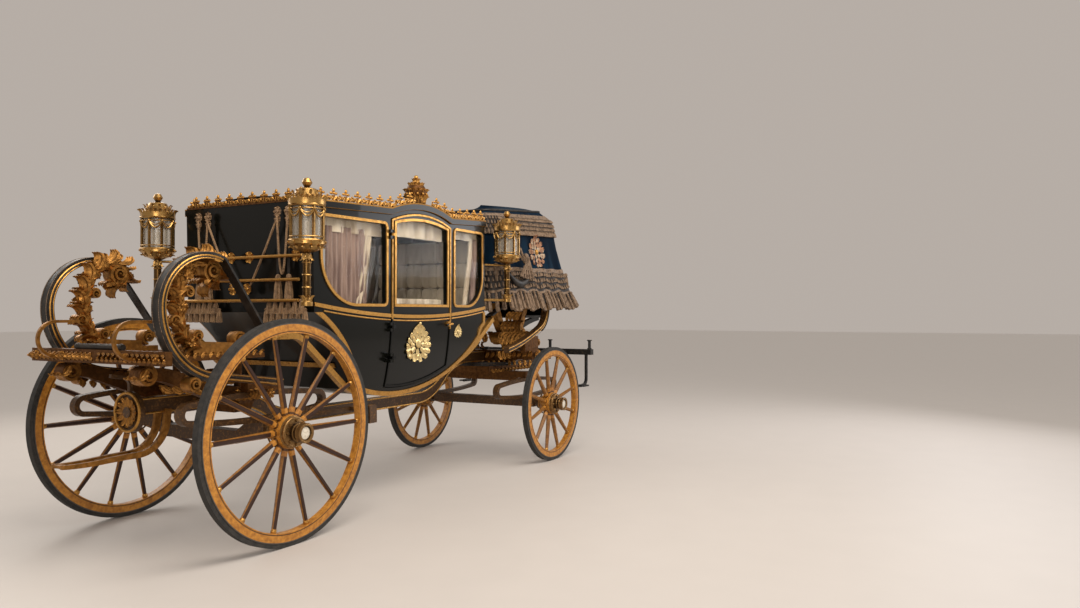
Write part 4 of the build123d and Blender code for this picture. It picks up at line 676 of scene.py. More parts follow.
def leather():
    """Waxed black harness leather with a fine grain."""
    s = Shade("black_leather", coat_weight=0.08, coat_roughness=0.25, specular_ior_level=0.25)
    grain = s.cells(420.0)
    wear = s.noise(16.0, 4.0)
    s.bump(grain + s.noise(900.0, 1.0) * 0.3, 0.35, 0.001)
    colour = s.mix(wear.ramp(0.4, 0.75), LEATHER, LEATHER_WORN)
    return s.set(base_color=colour, roughness=wear.ramp(0.3, 0.7, 0.32, 0.55))


def velvet():
    """Navy pile with brushed patches and soft sheen."""
    s = Shade("navy_velvet", specular_ior_level=0.1, sheen_weight=0.05, sheen_roughness=0.35,
              sheen_tint=NAVY_SHEEN, roughness=0.95)
    brushed = s.noise(7.0, 5.0, s.stretched(1, 1, 0.35), 0.6)
    pile = s.noise(700.0, 2.0)
    s.bump(pile, 0.4, 0.001)
    return s.set(base_color=s.mix(brushed.ramp(0.4, 0.72), NAVY, NAVY_LIGHT))


def thread(name, bright, dark, scale):
    """Twisted silk and metal thread, with painted shade in the gaps between its strands and in its hollows.
    """
    s = Shade(name, sheen_weight=0.06, sheen_roughness=0.4, metallic=0.15)
    x, y, z = s.axes()
    twist = ((x + y) * (900.0 * scale) + z * (520.0 * scale)).sine()
    patches = s.noise(30.0, 4.0)
    # painted shade between the strands of the twist and in the hollows, plus random patches
    shade = twist.ramp(-0.6, 0.8, 0.6, 0.0) + patches.ramp(0.45, 0.7) * 0.45 + s.hollows() * 0.3
    s.bump(twist, 0.5, 0.0012)
    colour = s.mix(shade, bright, dark)
    return s.set(base_color=colour, roughness=patches.ramp(0.3, 0.7, 0.45, 0.75))


def silk():
    """Cream watered silk."""
    s = Shade("cream_silk", sheen_weight=0.4, sheen_roughness=0.3)
    water = s.noise(14.0, 5.0, s.stretched(1, 1, 0.25), 0.6)
    s.bump(water, 0.2, 0.0008)
    colour = s.mix(water.ramp(0.35, 0.7), SILK, SILK_DARK)
    return s.set(base_color=colour, roughness=water.ramp(0.3, 0.7, 0.42, 0.62))


def gauze():
    """Faded rose gauze of the curtains, streaked up and down with the painted shade of small folds."""
    s = Shade("curtain_gauze", sheen_weight=0.2, sheen_roughness=0.4)
    streak = s.noise(30.0, 4.0, s.stretched(1, 1, 0.08), 0.6)
    s.bump(streak, 0.4, 0.002)
    # the vertical streaks darken the colour: painted shade of folds
    colour = s.mix(streak.ramp(0.35, 0.65), GAUZE, GAUZE_FOLD_SHADE)
    return s.set(base_color=colour, roughness=streak.ramp(0.3, 0.7, 0.6, 0.8))


def door_gilding():
    """Gold leaf above the belt and on the handle; below them the seam is painted with the body."""
    s = Shade("door_moulding", specular_ior_level=0.2)
    x, _, z = s.axes()
    grime = s.noise(38.0, 5.0, rough=0.65)
    # painted shade in the hollows found from the shape, plus random grime
    shade = s.hollows() * 0.75 + grime.ramp(0.45, 0.75) * 0.45
    handle = x.ramp(HANDLE_X, HANDLE_X + 0.005) * z.ramp(HANDLE_Z, HANDLE_Z + 0.005)
    gilt = (z.ramp(GILT_Z, GILT_Z + 0.003) + handle).ramp(0.0, 1.0)
    colour = s.mix(gilt, LACQUER, s.mix(shade, GOLD, GOLD_SHADE_AND_GRIME))
    return s.set(base_color=colour, metallic=gilt * 0.85, roughness=grime.ramp(0.3, 0.75, 0.26, 0.5))


def pane():
    """Old lamp glass, smoked in patches."""
    s = Shade("lamp_pane", roughness=0.05, specular_ior_level=0.8)
    smoke = s.noise(9.0, 4.0)
    return s.set(base_color=s.mix(smoke, PANE, PANE_SMOKE), alpha=smoke.ramp(0.3, 0.7, 0.26, 0.34))


def glass():
    """Clear plate with faint smears."""
    s = Shade("clear_glass", transmission_weight=1.0, ior=1.05, roughness=0.0, coat_weight=0.6,
              coat_roughness=0.0)
    smear = s.noise(3.0, 3.0)
    return s.set(base_color=s.mix(smear, GLASS, GLASS_SMEAR), alpha=smear.ramp(0.3, 0.8, 0.16, 0.24))


def wood():
    """Painted beech of hidden frames."""
    s = Shade("seat_frame_wood")
    grain = s.noise(14.0, 6.0, s.stretched(1, 1, 12), 0.6)
    s.bump(grain, 0.3, 0.002)
    colour = s.mix(grain, WOOD, WOOD_LIGHT)
    return s.set(base_color=colour, roughness=grain.ramp(0.3, 0.7, 0.5, 0.7))


def floor_material(colour):
    """Pale studio floor with the faintest mottling."""
    s = Shade("studio_floor", roughness=0.55)
    mottle = s.noise(3.0, 4.0)
    s.bump(s.noise(90.0, 2.0), 0.05, 0.001)
    darker = [c * 0.94 for c in colour[:3]] + [1]
    return s.set(base_color=s.mix(mottle, colour, darker))


def make_materials():
    """Every finish, by the name of its look."""
    for maker, rows in ((gilding, GILDINGS), (thread, THREADS), (iron, IRONS)):
        for look, *row in rows:
            MATERIALS[look] = maker(*row)
    MATERIALS.update(
        lacquer=lacquer(),
        door_gold=door_gilding(),
        pane=pane(),
        curtain=gauze(),
        tyre=tyre_material(),
        brass=brass(),
        leather=leather(),
        velvet=velvet(),
        silk=silk(),
        glass=glass(),
        wood=wood(),
    )
    for stem, axle_x, radius, spokes, _ in WHEELS[::2]:
        look = stem.rsplit("_", 1)[0]
        MATERIALS[look] = wheel_paint(look + "_paint", axle_x, radius, spokes)


NODE_LOOKS = [
    # look, CAD nodes
    ("lacquer", ["body_bottom", "body_back_panel", "body_front_panel", "side_panel_left", "side_panel_right",
                 "roof", "door_left", "door_right", "door_hinges"]),
    ("glass", ["body_glass", "door_left_glass", "door_right_glass"]),
    ("pane", ["lamp_glass"]),
    ("gold", ["body_mouldings", "rear_rails", "body_loops"]),
    ("door_gold", ["door_left_trim", "door_right_trim"]),
    ("carved", ["rear_standards", "box_frame", "rear_irons"]),
    ("ground", ["roof_gallery", "rear_bed", "front_transom", "rear_platform", "futchells", "fore_bed"]),
    ("brass", ["lamps_rear", "lamps_front"]),
    ("bronze", [stem + "_hub" for stem, *_ in WHEELS]),
    ("spring", ["c_springs_rear", "c_springs_front", "under_springs_rear", "under_springs_front",
                "brake_gear", "rear_axle", "front_axle", "perch"]),
    ("black_iron", ["king_bolt", "wheel_plate_upper", "wheel_plate_lower", "step_irons", "splinter_bar"]),
    ("leather", ["leather_braces", "toe_board"]),
    ("velvet", ["hammercloth"]),
    ("wood", ["seat_boxes"]),
    ("silk", ["seat_cushions"]),
    ("braid", ["footman_holders"]),
    ("wheel_rear", ["wheel_rear_left_wood", "wheel_rear_right_wood"]),
    ("wheel_front", ["wheel_front_left_wood", "wheel_front_right_wood"]),
    ("tyre", [stem + "_tyre" for stem, *_ in WHEELS]),
]


# Simple closed forms


def around(count, first=0.0):
    """Angles evenly round a circle."""
    return [2 * math.pi * (index + first) / count for index in range(count)]


def above(height):
    """A step straight up."""
    return Vector((0, 0, height))


class Form:
    """Points and faces gathered from closed forms."""

    def __init__(self):
        self.points = []
        self.faces = []

    def skin(self, rings, levels):
        """Faces between a number of neighbouring rings of equal length; the last ring meets the first."""
        start = len(self.points)
        count = len(rings[0])
        for ring in rings:
            self.points.extend(Vector(point) for point in ring)
        for level in range(levels):
            low = start + level * count
            high = start + (level + 1) % len(rings) * count
            for index in range(count):
                after = (index + 1) % count
                self.faces.append((low + index, low + after, high + after, high + index))
        return self

    def loft(self, rings):
        """A skin through rings, closed at both ends."""
        start = len(self.points)
        count = len(rings[0])
        self.skin(rings, len(rings) - 1)
        self.faces.append(tuple(range(start, start + count)))
        self.faces.append(tuple(range(len(self.points) - count, len(self.points))))
        return self

    def turned(self, profile, sides, ridge=0.0):
        """A turned form round Z from radius and height pairs, with every other side cut in by ridge."""
        rings = []
        for radius, height in profile:
            ring = []
            for side, angle in enumerate(around(sides)):
                out = radius * (1 - ridge * (side % 2))
                ring.append((out * math.cos(angle), out * math.sin(angle), height))
            rings.append(ring)
        return self.loft(rings)

    def ball(self, radius, sides):
        """A ball round the origin."""
        levels = sides // 2
        profile = []
        for level in range(levels + 1):
            angle = math.pi * (level + 0.15) / (levels + 0.3)
            profile.append((radius * math.sin(angle), -radius * math.cos(angle)))
        return self.turned(profile, sides)

    def add(self, other, place=(0, 0, 0), turn=(0, 0, 0), size=(1, 1, 1)):
        """Another form, sized, turned and put in place."""
        matrix = Matrix.LocRotScale(Vector(place), Euler(turn), Vector(size))
        start = len(self.points)
        self.points.extend(matrix @ point for point in other.points)
        self.faces.extend(tuple(start + index for index in face) for face in other.faces)
        return self

    def mesh(self, name):
        made = bpy.data.meshes.new(name)
        made.from_pydata(self.points, [], self.faces)
        return made


def facing(growth, outward):
    """The turn that points local Z along growth and local X outward."""
    up = Vector(growth).normalized()
    side = up.cross(Vector(outward)).normalized()
    out = side.cross(up)
    return Matrix((out, side, up)).transposed().to_euler()


def acanthus():
    """A carved leaf one unit long that grows up Z and curls over towards X."""
    steps = 11
    x, z = 0.10, 0.0
    rings = []
    for step in range(steps + 1):
        share = step / steps
        lean = 2.0 * share ** 2.6
        lobes = 0.68 + 0.32 * abs(math.sin(math.pi * 4.5 * share))
        half = 0.33 * math.sin(math.pi * (0.12 + 0.85 * share)) ** 0.8 * lobes
        front = []
        for place in (-3, -2, -1, 0, 1, 2, 3):
            rise = 0.06 if place == 0 else -0.03 * (place % 2) - 0.10 * (place / 3) ** 2
            front.append((half * place / 3, rise * min(1, half * 5)))
        under = -0.15 * half * 3
        ring = front + [(half * 0.8, under), (0, -0.2 * half * 3 - 0.02), (-half * 0.8, under)]
        across, up = math.cos(lean), -math.sin(lean)
        rings.append([(x + rise * across, y, z + rise * up) for y, rise in ring])
        x += math.sin(lean) / steps
        z += math.cos(lean) / steps
    return Form().loft(rings)


def rosette():
    """A carved flower of unit radius that faces X."""
    form = Form()
    leaf = acanthus()
    for angle in around(8):
        growth = (0, math.cos(angle), math.sin(angle))
        form.add(leaf, turn=facing(growth, (1, 0, 0)), size=(0.75, 1.1, 0.95))
    return form.add(Form().ball(0.3, 10), place=(0.12, 0, 0))


def volute():
    """A rolled scroll of about unit radius in the XZ plane, with a boss at its eye."""
    form = Form()
    steps = 28
    rings = []
    for step in range(steps + 1):
        share = step / steps
        angle = -math.pi / 2 - share * 2 * math.pi * 1.8
        radius = 1.0 - 0.72 * share
        thick = 0.16 - 0.06 * share
        half = 0.42 + 0.20 * share
        ring = []
        for out, across in ((thick, -half), (thick * 1.4, 0), (thick, half), (-thick, half), (-thick, -half)):
            ring.append(((radius + out) * math.cos(angle), across, (radius + out) * math.sin(angle)))
        rings.append(ring)
    form.loft(rings)
    return form.add(Form().ball(0.24, 10), size=(1, 2.6, 1))


def tassel(sides=14):
    """A hanging tassel one unit long: knot, neck and skirt of twisted strands."""
    profile = [(0.03, 0), (0.11, -0.03), (0.16, -0.11), (0.11, -0.20), (0.15, -0.24), (0.20, -0.45),
               (0.24, -0.75), (0.25, -0.97), (0.10, -1.0)]
    return Form().turned(profile, sides, 0.28)


def fleuron():
    """A gallery ornament one unit high: a trefoil on a leafy foot between two scrolls."""
    form = Form()
    lobe = Form().ball(1.0, 10)
    for x, z, wide, high in FLEURON_LOBES:
        form.add(lobe, place=(x, 0, z), size=(wide, 0.09, high))
    leaf = acanthus()
    for lean in (0, 0.8, -0.8):
        growth = (math.sin(lean), 0, math.cos(lean))
        for side in (1, -1):
            form.add(leaf, turn=facing(growth, (0, side, 0)), size=(0.30, 0.42, 0.52))
    scroll = volute()
    for side in (1, -1):
        form.add(scroll, place=(0.42 * side, 0, 0.20), size=(0.17 * side, 0.22, 0.17))
    return form


# Paths and surfaces


def route(start, heading, runs):
    """Points along straight and curved runs in side view: x, z and heading."""
    x, z = start
    angle = math.radians(heading)
    found = [(x, z, angle)]
    for length, turn in runs:
        count = max(1, round(length / ROUTE_STEP))
        bend = math.radians(turn) / count
        for _ in range(count):
            x += length / count * math.cos(angle + bend / 2)
            z += length / count * math.sin(angle + bend / 2)
            angle += bend
            found.append((x, z, angle))
    return found


def beside(point, y, out):
    """A place beside a point of a route, a distance out to its left."""
    x, z, angle = point
    return Vector((x - out * math.sin(angle), y, z + out * math.cos(angle)))


def arc(first, last, sag, count):
    """Points of a hanging line between two places."""
    first, last = Vector(first), Vector(last)
    found = []
    for index in range(count + 1):
        share = index / count
        found.append(first.lerp(last, share) - above(4 * sag * share * (1 - share)))
    return found


def hull_y(x, z):
    """Half-width of the body's skin at x and z."""
    below = max(0.0, BELT_Z - z)
    bow = (x - BOW_X) ** 2 / (2 * BOW_RADIUS)
    return BODY_HALF - bow - (TURN_UNDER - math.sqrt(TURN_UNDER ** 2 - below ** 2))


def wall_y(x):
    """Half-width of the upright wall above the belt."""
    return hull_y(x, BELT_Z)


def cornice_z(x):
    """Height of the cornice line at x: straight, arched over the door, straight."""
    (rear_x, rear_z), (low_x, low_z), (high_x, high_z), (fore_x, fore_z) = CORNICE
    if x <= low_x:
        return rear_z + (low_z - rear_z) * (x - rear_x) / (low_x - rear_x)
    if x >= high_x:
        return high_z + (fore_z - high_z) * (x - high_x) / (fore_x - high_x)
    half = (high_x - low_x) / 2
    rise = DOOR_ARCH_Z - low_z
    radius = (half ** 2 + rise ** 2) / (2 * rise)
    return DOOR_ARCH_Z - radius + math.sqrt(radius ** 2 - (x - (low_x + high_x) / 2) ** 2)


def round_rectangle(share, low_x, high_x, half, radius):
    """A place and its outward direction on a rounded rectangle in plan."""
    long = high_x - low_x - 2 * radius
    wide = 2 * (half - radius)
    bend = math.pi * radius / 2
    sides = [
        # length, straight, start, direction or corner's first angle
        (long, True, (low_x + radius, -half), 0.0),
        (bend, False, (high_x - radius, radius - half), -math.pi / 2),
        (wide, True, (high_x, radius - half), math.pi / 2),
        (bend, False, (high_x - radius, half - radius), 0.0),
        (long, True, (high_x - radius, half), math.pi),
        (bend, False, (low_x + radius, half - radius), math.pi / 2),
        (wide, True, (low_x, half - radius), -math.pi / 2),
        (bend, False, (low_x + radius, radius - half), math.pi),
    ]
    left = share % 1.0 * sum(side[0] for side in sides)
    for length, straight, (x, y), angle in sides:
        if left <= length:
            break
        left -= length
    if straight:
        outward = angle - math.pi / 2
        return x + left * math.cos(angle), y + left * math.sin(angle), outward
    outward = angle + left / radius
    return x + radius * math.cos(outward), y + radius * math.sin(outward), outward


def cloth_at(share, down, proud=0.0):
    """A place on the folded hanging of the box seat, and its outward heading."""
    for upper, lower in zip(CLOTH, CLOTH[1:]):
        if down <= lower[0]:
            break
    part = (down - upper[0]) / (lower[0] - upper[0])
    _, low_x, high_x, half, rear_z, front_z, radius = (a + (b - a) * part for a, b in zip(upper, lower))
    x, y, outward = round_rectangle(share, low_x, high_x, half, radius)
    wave = math.cos(2 * math.pi * FOLDS * share + 1.4 * math.sin(2 * math.pi * 7 * share))
    fold = 0.003 + FOLD_DEPTH * max(0.0, down - FOLD_TOP) ** 1.3
    out = proud + fold * (0.5 + 0.5 * wave)
    swag = max(0.0, down - SWAG_TOP) * SWAG_DEPTH * math.sin(math.pi * SWAGS * share) ** 2
    z = rear_z + (front_z - rear_z) * (x - low_x) / (high_x - low_x) - swag
    return Vector((x + out * math.cos(outward), y + out * math.sin(outward), z)), outward


def cloth_wall(low, high, proud, thick, rows):
    """A band of the hanging, from one share of its height to another, with two faces."""
    levels = [low + (high - low) * row / rows for row in range(rows + 1)]
    rings = []
    for down, out in [(down, proud) for down in levels] + [(down, proud - thick) for down in levels[::-1]]:
        rings.append([cloth_at(column / CLOTH_COLUMNS, down, out)[0] for column in range(CLOTH_COLUMNS)])
    return Form().skin(rings, len(rings))


# Node trees that repeat a form and that follow a path


def new_tree(name, **inputs):
    """A geometry tree with the named inputs, its source, and a last node that sets the material."""
    tree = bpy.data.node_groups.new(name, "GeometryNodeTree")
    tree.interface.new_socket("Geometry", in_out="INPUT", socket_type="NodeSocketGeometry")
    for label, kind in inputs.items():
        tree.interface.new_socket(label, in_out="INPUT", socket_type=kind)
    tree.interface.new_socket("Geometry", in_out="OUTPUT", socket_type="NodeSocketGeometry")
    source = tree.nodes.new("NodeGroupInput")
    dress = tree.nodes.new("GeometryNodeSetMaterial")
    tree.links.new(source.outputs["Material"], dress.inputs["Material"])
    tree.links.new(dress.outputs[0], tree.nodes.new("NodeGroupOutput").inputs[0])
    return tree, source, dress


def stored(tree, name, kind):
    """Reads a number or vector stored on the points."""
    node = tree.nodes.new("GeometryNodeInputNamedAttribute")
    node.data_type = kind
    node.inputs["Name"].default_value = name
    return node.outputs["Attribute"]


def repeat_tree():
    """Stands a copy of one object on every point, turned and sized as stored."""
    tree, source, dress = new_tree("repeat", Copy="NodeSocketObject", Material="NodeSocketMaterial")
    info = tree.nodes.new("GeometryNodeObjectInfo")
    stand = tree.nodes.new("GeometryNodeInstanceOnPoints")
    real = tree.nodes.new("GeometryNodeRealizeInstances")
    for output, socket in (
        (source.outputs["Geometry"], stand.inputs["Points"]),
        (source.outputs["Copy"], info.inputs["Object"]),
        (info.outputs["Geometry"], stand.inputs["Instance"]),
        (stored(tree, "turn", "FLOAT_VECTOR"), stand.inputs["Rotation"]),
        (stored(tree, "size", "FLOAT_VECTOR"), stand.inputs["Scale"]),
        (stand.outputs[0], real.inputs[0]),
        (real.outputs[0], dress.inputs["Geometry"]),
    ):
        tree.links.new(output, socket)
    return tree


def path_tree():
    """Makes a tube along every line of edges, as thick as stored on its points."""
    tree, source, dress = new_tree("path", Sides="NodeSocketInt", Material="NodeSocketMaterial")
    curve = tree.nodes.new("GeometryNodeMeshToCurve")
    thick = tree.nodes.new("GeometryNodeSetCurveRadius")
    circle = tree.nodes.new("GeometryNodeCurvePrimitiveCircle")
    tube = tree.nodes.new("GeometryNodeCurveToMesh")
    circle.inputs["Radius"].default_value = 1.0
    tube.inputs["Fill Caps"].default_value = True
    for output, socket in (
        (source.outputs["Geometry"], curve.inputs["Mesh"]),
        (curve.outputs[0], thick.inputs["Curve"]),
        (stored(tree, "thick", "FLOAT"), thick.inputs["Radius"]),
        (thick.outputs[0], tube.inputs["Curve"]),
        (source.outputs["Sides"], circle.inputs["Resolution"]),
        (circle.outputs["Curve"], tube.inputs["Profile Curve"]),
        (stored(tree, "thick", "FLOAT"), tube.inputs["Scale"]),
        (tube.outputs[0], dress.inputs["Geometry"]),
    ):
        tree.links.new(output, socket)
    return tree


def grown(name, base, kind, **values):
    """What a node tree makes of a mesh, as a plain mesh."""
    if kind not in TREES:
        TREES[kind] = {"repeat": repeat_tree, "path": path_tree}[kind]()
    holder = bpy.data.objects.new(name + "_holder", base)
    bpy.context.scene.collection.objects.link(holder)
    modifier = holder.modifiers.new("tree", "NODES")
    modifier.node_group = TREES[kind]
    for socket in TREES[kind].interface.items_tree:
        if socket.in_out == "INPUT" and socket.name in values:
            modifier[socket.identifier] = values[socket.name]
    depsgraph = bpy.context.evaluated_depsgraph_get()
    mesh = bpy.data.meshes.new_from_object(holder.evaluated_get(depsgraph))
    bpy.data.objects.remove(holder)
    bpy.data.meshes.remove(base)
    mesh.name = name
    return mesh


def repeated(name, form, spots, look):
    """Copies of a form at each spot: place, turn, size."""
    copy = bpy.data.objects.new(name + "_copy", form.mesh(name + "_copy"))
    base = bpy.data.meshes.new(name + "_base")
    base.from_pydata([spot[0] for spot in spots], [], [])
    for label, index in (("turn", 1), ("size", 2)):
        layer = base.attributes.new(label, "FLOAT_VECTOR", "POINT")
        for item, spot in zip(layer.data, spots):
            item.vector = Vector(spot[index])
    mesh = grown(name, base, "repeat", Copy=copy, Material=MATERIALS[look])
    bpy.data.objects.remove(copy)
    return mesh


def tubes(name, lines, look, sides=8):
    """Tubes along lines, each given as points and thickness, closed on itself if asked."""
    places, edges, thick = [], [], []
    for points, radius, closed in lines:
        start = len(places)
        places.extend(points)
        thick.extend([radius] * len(points))
        edges.extend((start + i, start + i + 1) for i in range(len(points) - 1))
        if closed:
            edges.append((len(places) - 1, start))
    base = bpy.data.meshes.new(name + "_base")
    base.from_pydata(places, edges, [])
    layer = base.attributes.new("thick", "FLOAT", "POINT")
    for item, radius in zip(layer.data, thick):
        item.value = radius
    return grown(name, base, "path", Sides=sides, Material=MATERIALS[look])


def formed(name, form, look):
    """A form as a mesh in one finish."""
    mesh = form.mesh(name)
    mesh.materials.append(MATERIALS[look])
    return mesh


def piece(mesh, body="chassis"):
    """A finished mesh as an object that moves with a body."""
    work = bmesh.new()
    work.from_mesh(mesh)
    bmesh.ops.recalc_face_normals(work, faces=work.faces)
    work.to_mesh(mesh)
    work.free()
    mesh.shade_smooth()
    mesh.set_sharp_from_angle(angle=SHARP_ANGLE)
    made = bpy.data.objects.new(mesh.name, mesh)
    bpy.context.scene.collection.objects.link(made)
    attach(made, body)
    return made


def even(size):
    """The same size along every axis."""
    return (size, size, size)


def bead(place, size):
    """A spot for an unturned ball."""
    return (place, (0, 0, 0), even(size))


def both(spots):
    """Spots and their mirror images across the centre plane, as growth and outward directions."""
    found = []
    for place, growth, outward, size in spots:
        found.append((place, facing(growth, outward), size))
        mirror = [(x, -y, z) for x, y, z in (place, growth, outward)]
        found.append((mirror[0], facing(mirror[1], mirror[2]), size))
    return found


# Settings and steps


class StageSettings(bpy.types.PropertyGroup):
    """Camera, lights and floor."""

    lens: FloatProperty(name="Lens", description="Focal length on a 36 mm sensor", default=27.743)
    place: FloatVectorProperty(name="Camera", description="Where the camera stands",
                               subtype="TRANSLATION", size=3, default=(-5.4884, -4.6418, 1.4361))
    yaw: FloatProperty(name="Yaw", description="Heading from +X towards +Y", subtype="ANGLE",
                       default=math.radians(28.9593))
    pitch: FloatProperty(name="Pitch", description="Tilt above the horizon", subtype="ANGLE",
                         default=math.radians(0.605))
    floor: FloatVectorProperty(name="Floor", description="Colour of the floor", subtype="COLOR", size=4,
                               default=(0.50, 0.45, 0.41, 1))
    key: FloatProperty(name="Key light", description="Power of the large overhead light", unit="POWER",
                       default=330.0)
    world: FloatProperty(name="Room light", description="Strength of the even light", default=0.85)


def aimed(name, data, place, heading):
    """A camera or light at a place, looking along a heading."""
    made = bpy.data.objects.new(name, data)
    made.location = place
    made.rotation_mode = "QUATERNION"
    made.rotation_quaternion = Vector(heading).to_track_quat("-Z", "Y")
    bpy.context.scene.collection.objects.link(made)
    return made


def stage_camera(settings):
    """The camera that stands where the photograph was taken from."""
    data = bpy.data.cameras.new("camera")
    data.lens = settings.lens
    data.sensor_width = 36.0
    flat = math.cos(settings.pitch)
    heading = (math.cos(settings.yaw) * flat, math.sin(settings.yaw) * flat, math.sin(settings.pitch))
    bpy.context.scene.camera = aimed("camera", data, settings.place, heading)


def stage_floor(colour):
    """A wide plain floor at the height of the ground."""
    far = FLOOR_HALF
    mesh = bpy.data.meshes.new("studio_floor")
    mesh.from_pydata([(-far, -far, 0), (far, -far, 0), (far, far, 0), (-far, far, 0)], [], [(0, 1, 2, 3)])
    mesh.materials.append(floor_material(colour))
    floor = bpy.data.objects.new("studio_floor", mesh)
    bpy.context.scene.collection.objects.link(floor)


def stage_lights(power):
    """Large soft lights, as shares of the key light's power."""
    for name, place, aim, width, height, share, colour in STAGE_LIGHTS:
        light = bpy.data.lights.new(name, "AREA")
        light.shape = "RECTANGLE"
        light.size = width
        light.size_y = height
        light.energy = power * share
        light.color = colour
        aimed(name, light, place, Vector(aim) - Vector(place))


def stage_world(strength):
    """Even pale light, with a plain backdrop for the camera and for what mirrors or passes it."""
    world = bpy.data.worlds.new("studio")
    world.use_nodes = True
    tree = world.node_tree
    link = tree.links.new
    pale = tree.nodes["Background"]
    pale.inputs["Color"].default_value = ROOM_COLOUR
    pale.inputs["Strength"].default_value = strength
    backdrop = tree.nodes.new("ShaderNodeBackground")
    backdrop.inputs["Color"].default_value = BACKDROP_COLOUR
    path = tree.nodes.new("ShaderNodeLightPath")
    choose = tree.nodes.new("ShaderNodeMixShader")
    seen = path.outputs["Is Camera Ray"]
    for ray in ("Is Glossy Ray", "Is Transmission Ray"):
        either = tree.nodes.new("ShaderNodeMath")
        either.operation = "MAXIMUM"
        link(seen, either.inputs[0])
        link(path.outputs[ray], either.inputs[1])
        seen = either.outputs[0]
    for index, output in enumerate((seen, pale.outputs[0], backdrop.outputs[0])):
        link(output, choose.inputs[index])
    link(choose.outputs[0], tree.nodes["World Output"].inputs["Surface"])
    bpy.context.scene.world = world


class COACH_OT_stage(bpy.types.Operator):
    """Sets the camera, soft lights and a plain pale floor"""

    bl_idname = "coach.stage"
    bl_label = "Stage"

    def execute(self, context):
        settings = context.scene.coach_stage
        stage_camera(settings)
        stage_floor(tuple(settings.floor))
        stage_lights(settings.key)
        stage_world(settings.world)
        context.scene.view_settings.view_transform = "Standard"
        return {"FINISHED"}


class COACH_OT_paint(bpy.types.Operator):
    """Gives every CAD node its finish"""

    bl_idname = "coach.paint"
    bl_label = "Paint"

    def execute(self, context):
        make_materials()
        for look, nodes in NODE_LOOKS:
            for node in nodes:
                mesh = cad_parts[node].data
                mesh.materials.clear()
                mesh.materials.append(MATERIALS[look])
        return {"FINISHED"}


def fringe(width, rows):
    """Tassels in rows round the hanging, every other row set off by half a step."""
    spots = []
    for tier, (down, length, count) in enumerate(rows):
        for index in range(count):
            share = (index + 0.5 * (tier % 2)) / count
            place, outward = cloth_at(share, down, 0.014)
            foot, _ = cloth_at(share, down + length, 0.016)
            out = (math.cos(outward), math.sin(outward), 0.12)
            spots.append((place, facing(place - foot, out), (length * width, length * width, length)))
    return spots


def box_cushion():
    """The crowned cushion that fills the top of the hanging."""
    rings = []
    for row in range(9):
        share = row / 8
        rise = SEAT_CROWN * (1 - (1 - share) ** 2.4) - 0.012
        shrink = max(0.02, 1 - share ** 1.6)
        ring = []
        for column in range(120):
            place, _ = cloth_at(column / 120, 0.0, -0.012)
            middle = Vector((SEAT_X, 0, SEAT_Z + (place.x - SEAT_X) * SEAT_SLOPE))
            ring.append(middle + (place - middle) * shrink + above(rise))
        rings.append(ring)
    rings.insert(0, [point - above(0.03) for point in rings[0]])
    return Form().loft(rings)


class COACH_OT_hammercloth(bpy.types.Operator):
    """Hangs the folded navy cloth of the box seat with its braid and tassels"""

    bl_idname = "coach.hammercloth"
    bl_label = "Hammercloth"

    def execute(self, context):
        for name, look, proud, thick, bands in CLOTH_BANDS:
            form = Form()
            for low, high, rows in bands:
                form.add(cloth_wall(low, high, proud, thick, rows))
            piece(formed(name, form, look))
        for name, sides, width, rows in CLOTH_FRINGES:
            piece(repeated(name, tassel(sides), fringe(width, rows), "braid"))
        edge = [cloth_at(index / 240, 0.0, 0.004)[0] for index in range(240)]
        piece(tubes("box_cloth_piping", [(edge, 0.012, True)], "leather"))
        wall = cloth_wall(0.0, CLOTH_HEM, 0.0, CLOTH_THICK, CLOTH_ROWS)
        cloth = piece(formed("box_cloth", wall, "velvet"))
        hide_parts("hammercloth")
        seat = piece(formed("box_seat_cushion", box_cushion(), "velvet"))
        return {"FINISHED"}


def cloth_side(z):
    """Half-width of the hanging's flank, which spreads faster below its knee."""
    return KNEE_HALF + (KNEE_Z - z) * (0.17 if z < KNEE_Z else 0.123)


def emblem_leaves():
    """Leaves in rings round the emblem's middle: those in red gold, and the pale ones."""
    gold, pale = [], []
    x, z = EMBLEM
    for reach, number, size, share in EMBLEM_RINGS:
        for index, angle in enumerate(around(number)):
            across, up = math.sin(angle), math.cos(angle)
            height = z + reach * up
            sway = 0.55 if index % 2 else -0.55
            growth = (across + sway * up, -0.17 * abs(up) * (up < 0), up - sway * across)
            place = (x + reach * across, -cloth_side(height), height)
            group = gold if (index + number // 2) % share else pale
            group.append((place, growth, (0, -1, 0.15), (size * 0.4, size * 1.15, size)))
    for lean in (0, 0.5, -0.5):
        growth = (math.sin(lean), 0, math.cos(lean))
        gold.append(((x, -cloth_side(z + 0.125), z + 0.125), growth, (0, -1, 0.15), even(0.06)))
    return gold, pale


def emblem_bosses():
    """An oval boss in the middle of each emblem and a bud above it."""
    form = Form()
    x, z = EMBLEM
    for side in (1, -1):
        for sides, height, size in ((18, z, (0.022, 0.018, 0.030)), (10, z + EMBLEM_BUD, even(0.012))):
            place = (x, (cloth_side(height) + 0.004) * side, height)
            form.add(Form().ball(1.0, sides), place=place, size=size)
    return form


def hanging_tassels():
    """Single tassels at the corners, and on each side a bunch that is wider row by row."""
    spots = []
    for x, y, z in CORNER_TASSELS:
        for side in (1, -1):
            spots.append(((x, y * side, z), (0, 0, 0), CORNER_TASSEL_SIZE))
    for side in (1, -1):
        for number, half, z, proud in CLUSTER_ROWS:
            for index in range(number):
                across = half * (2 * index / (number - 1) - 1)
                place = (CLUSTER_X + across, side * (CLUSTER_Y + proud), z + 2.0 * across ** 2)
                spots.append((place, facing((-3.2 * across, 0, 1), (0, side, 0)), CLUSTER_TASSEL_SIZE))
    return spots


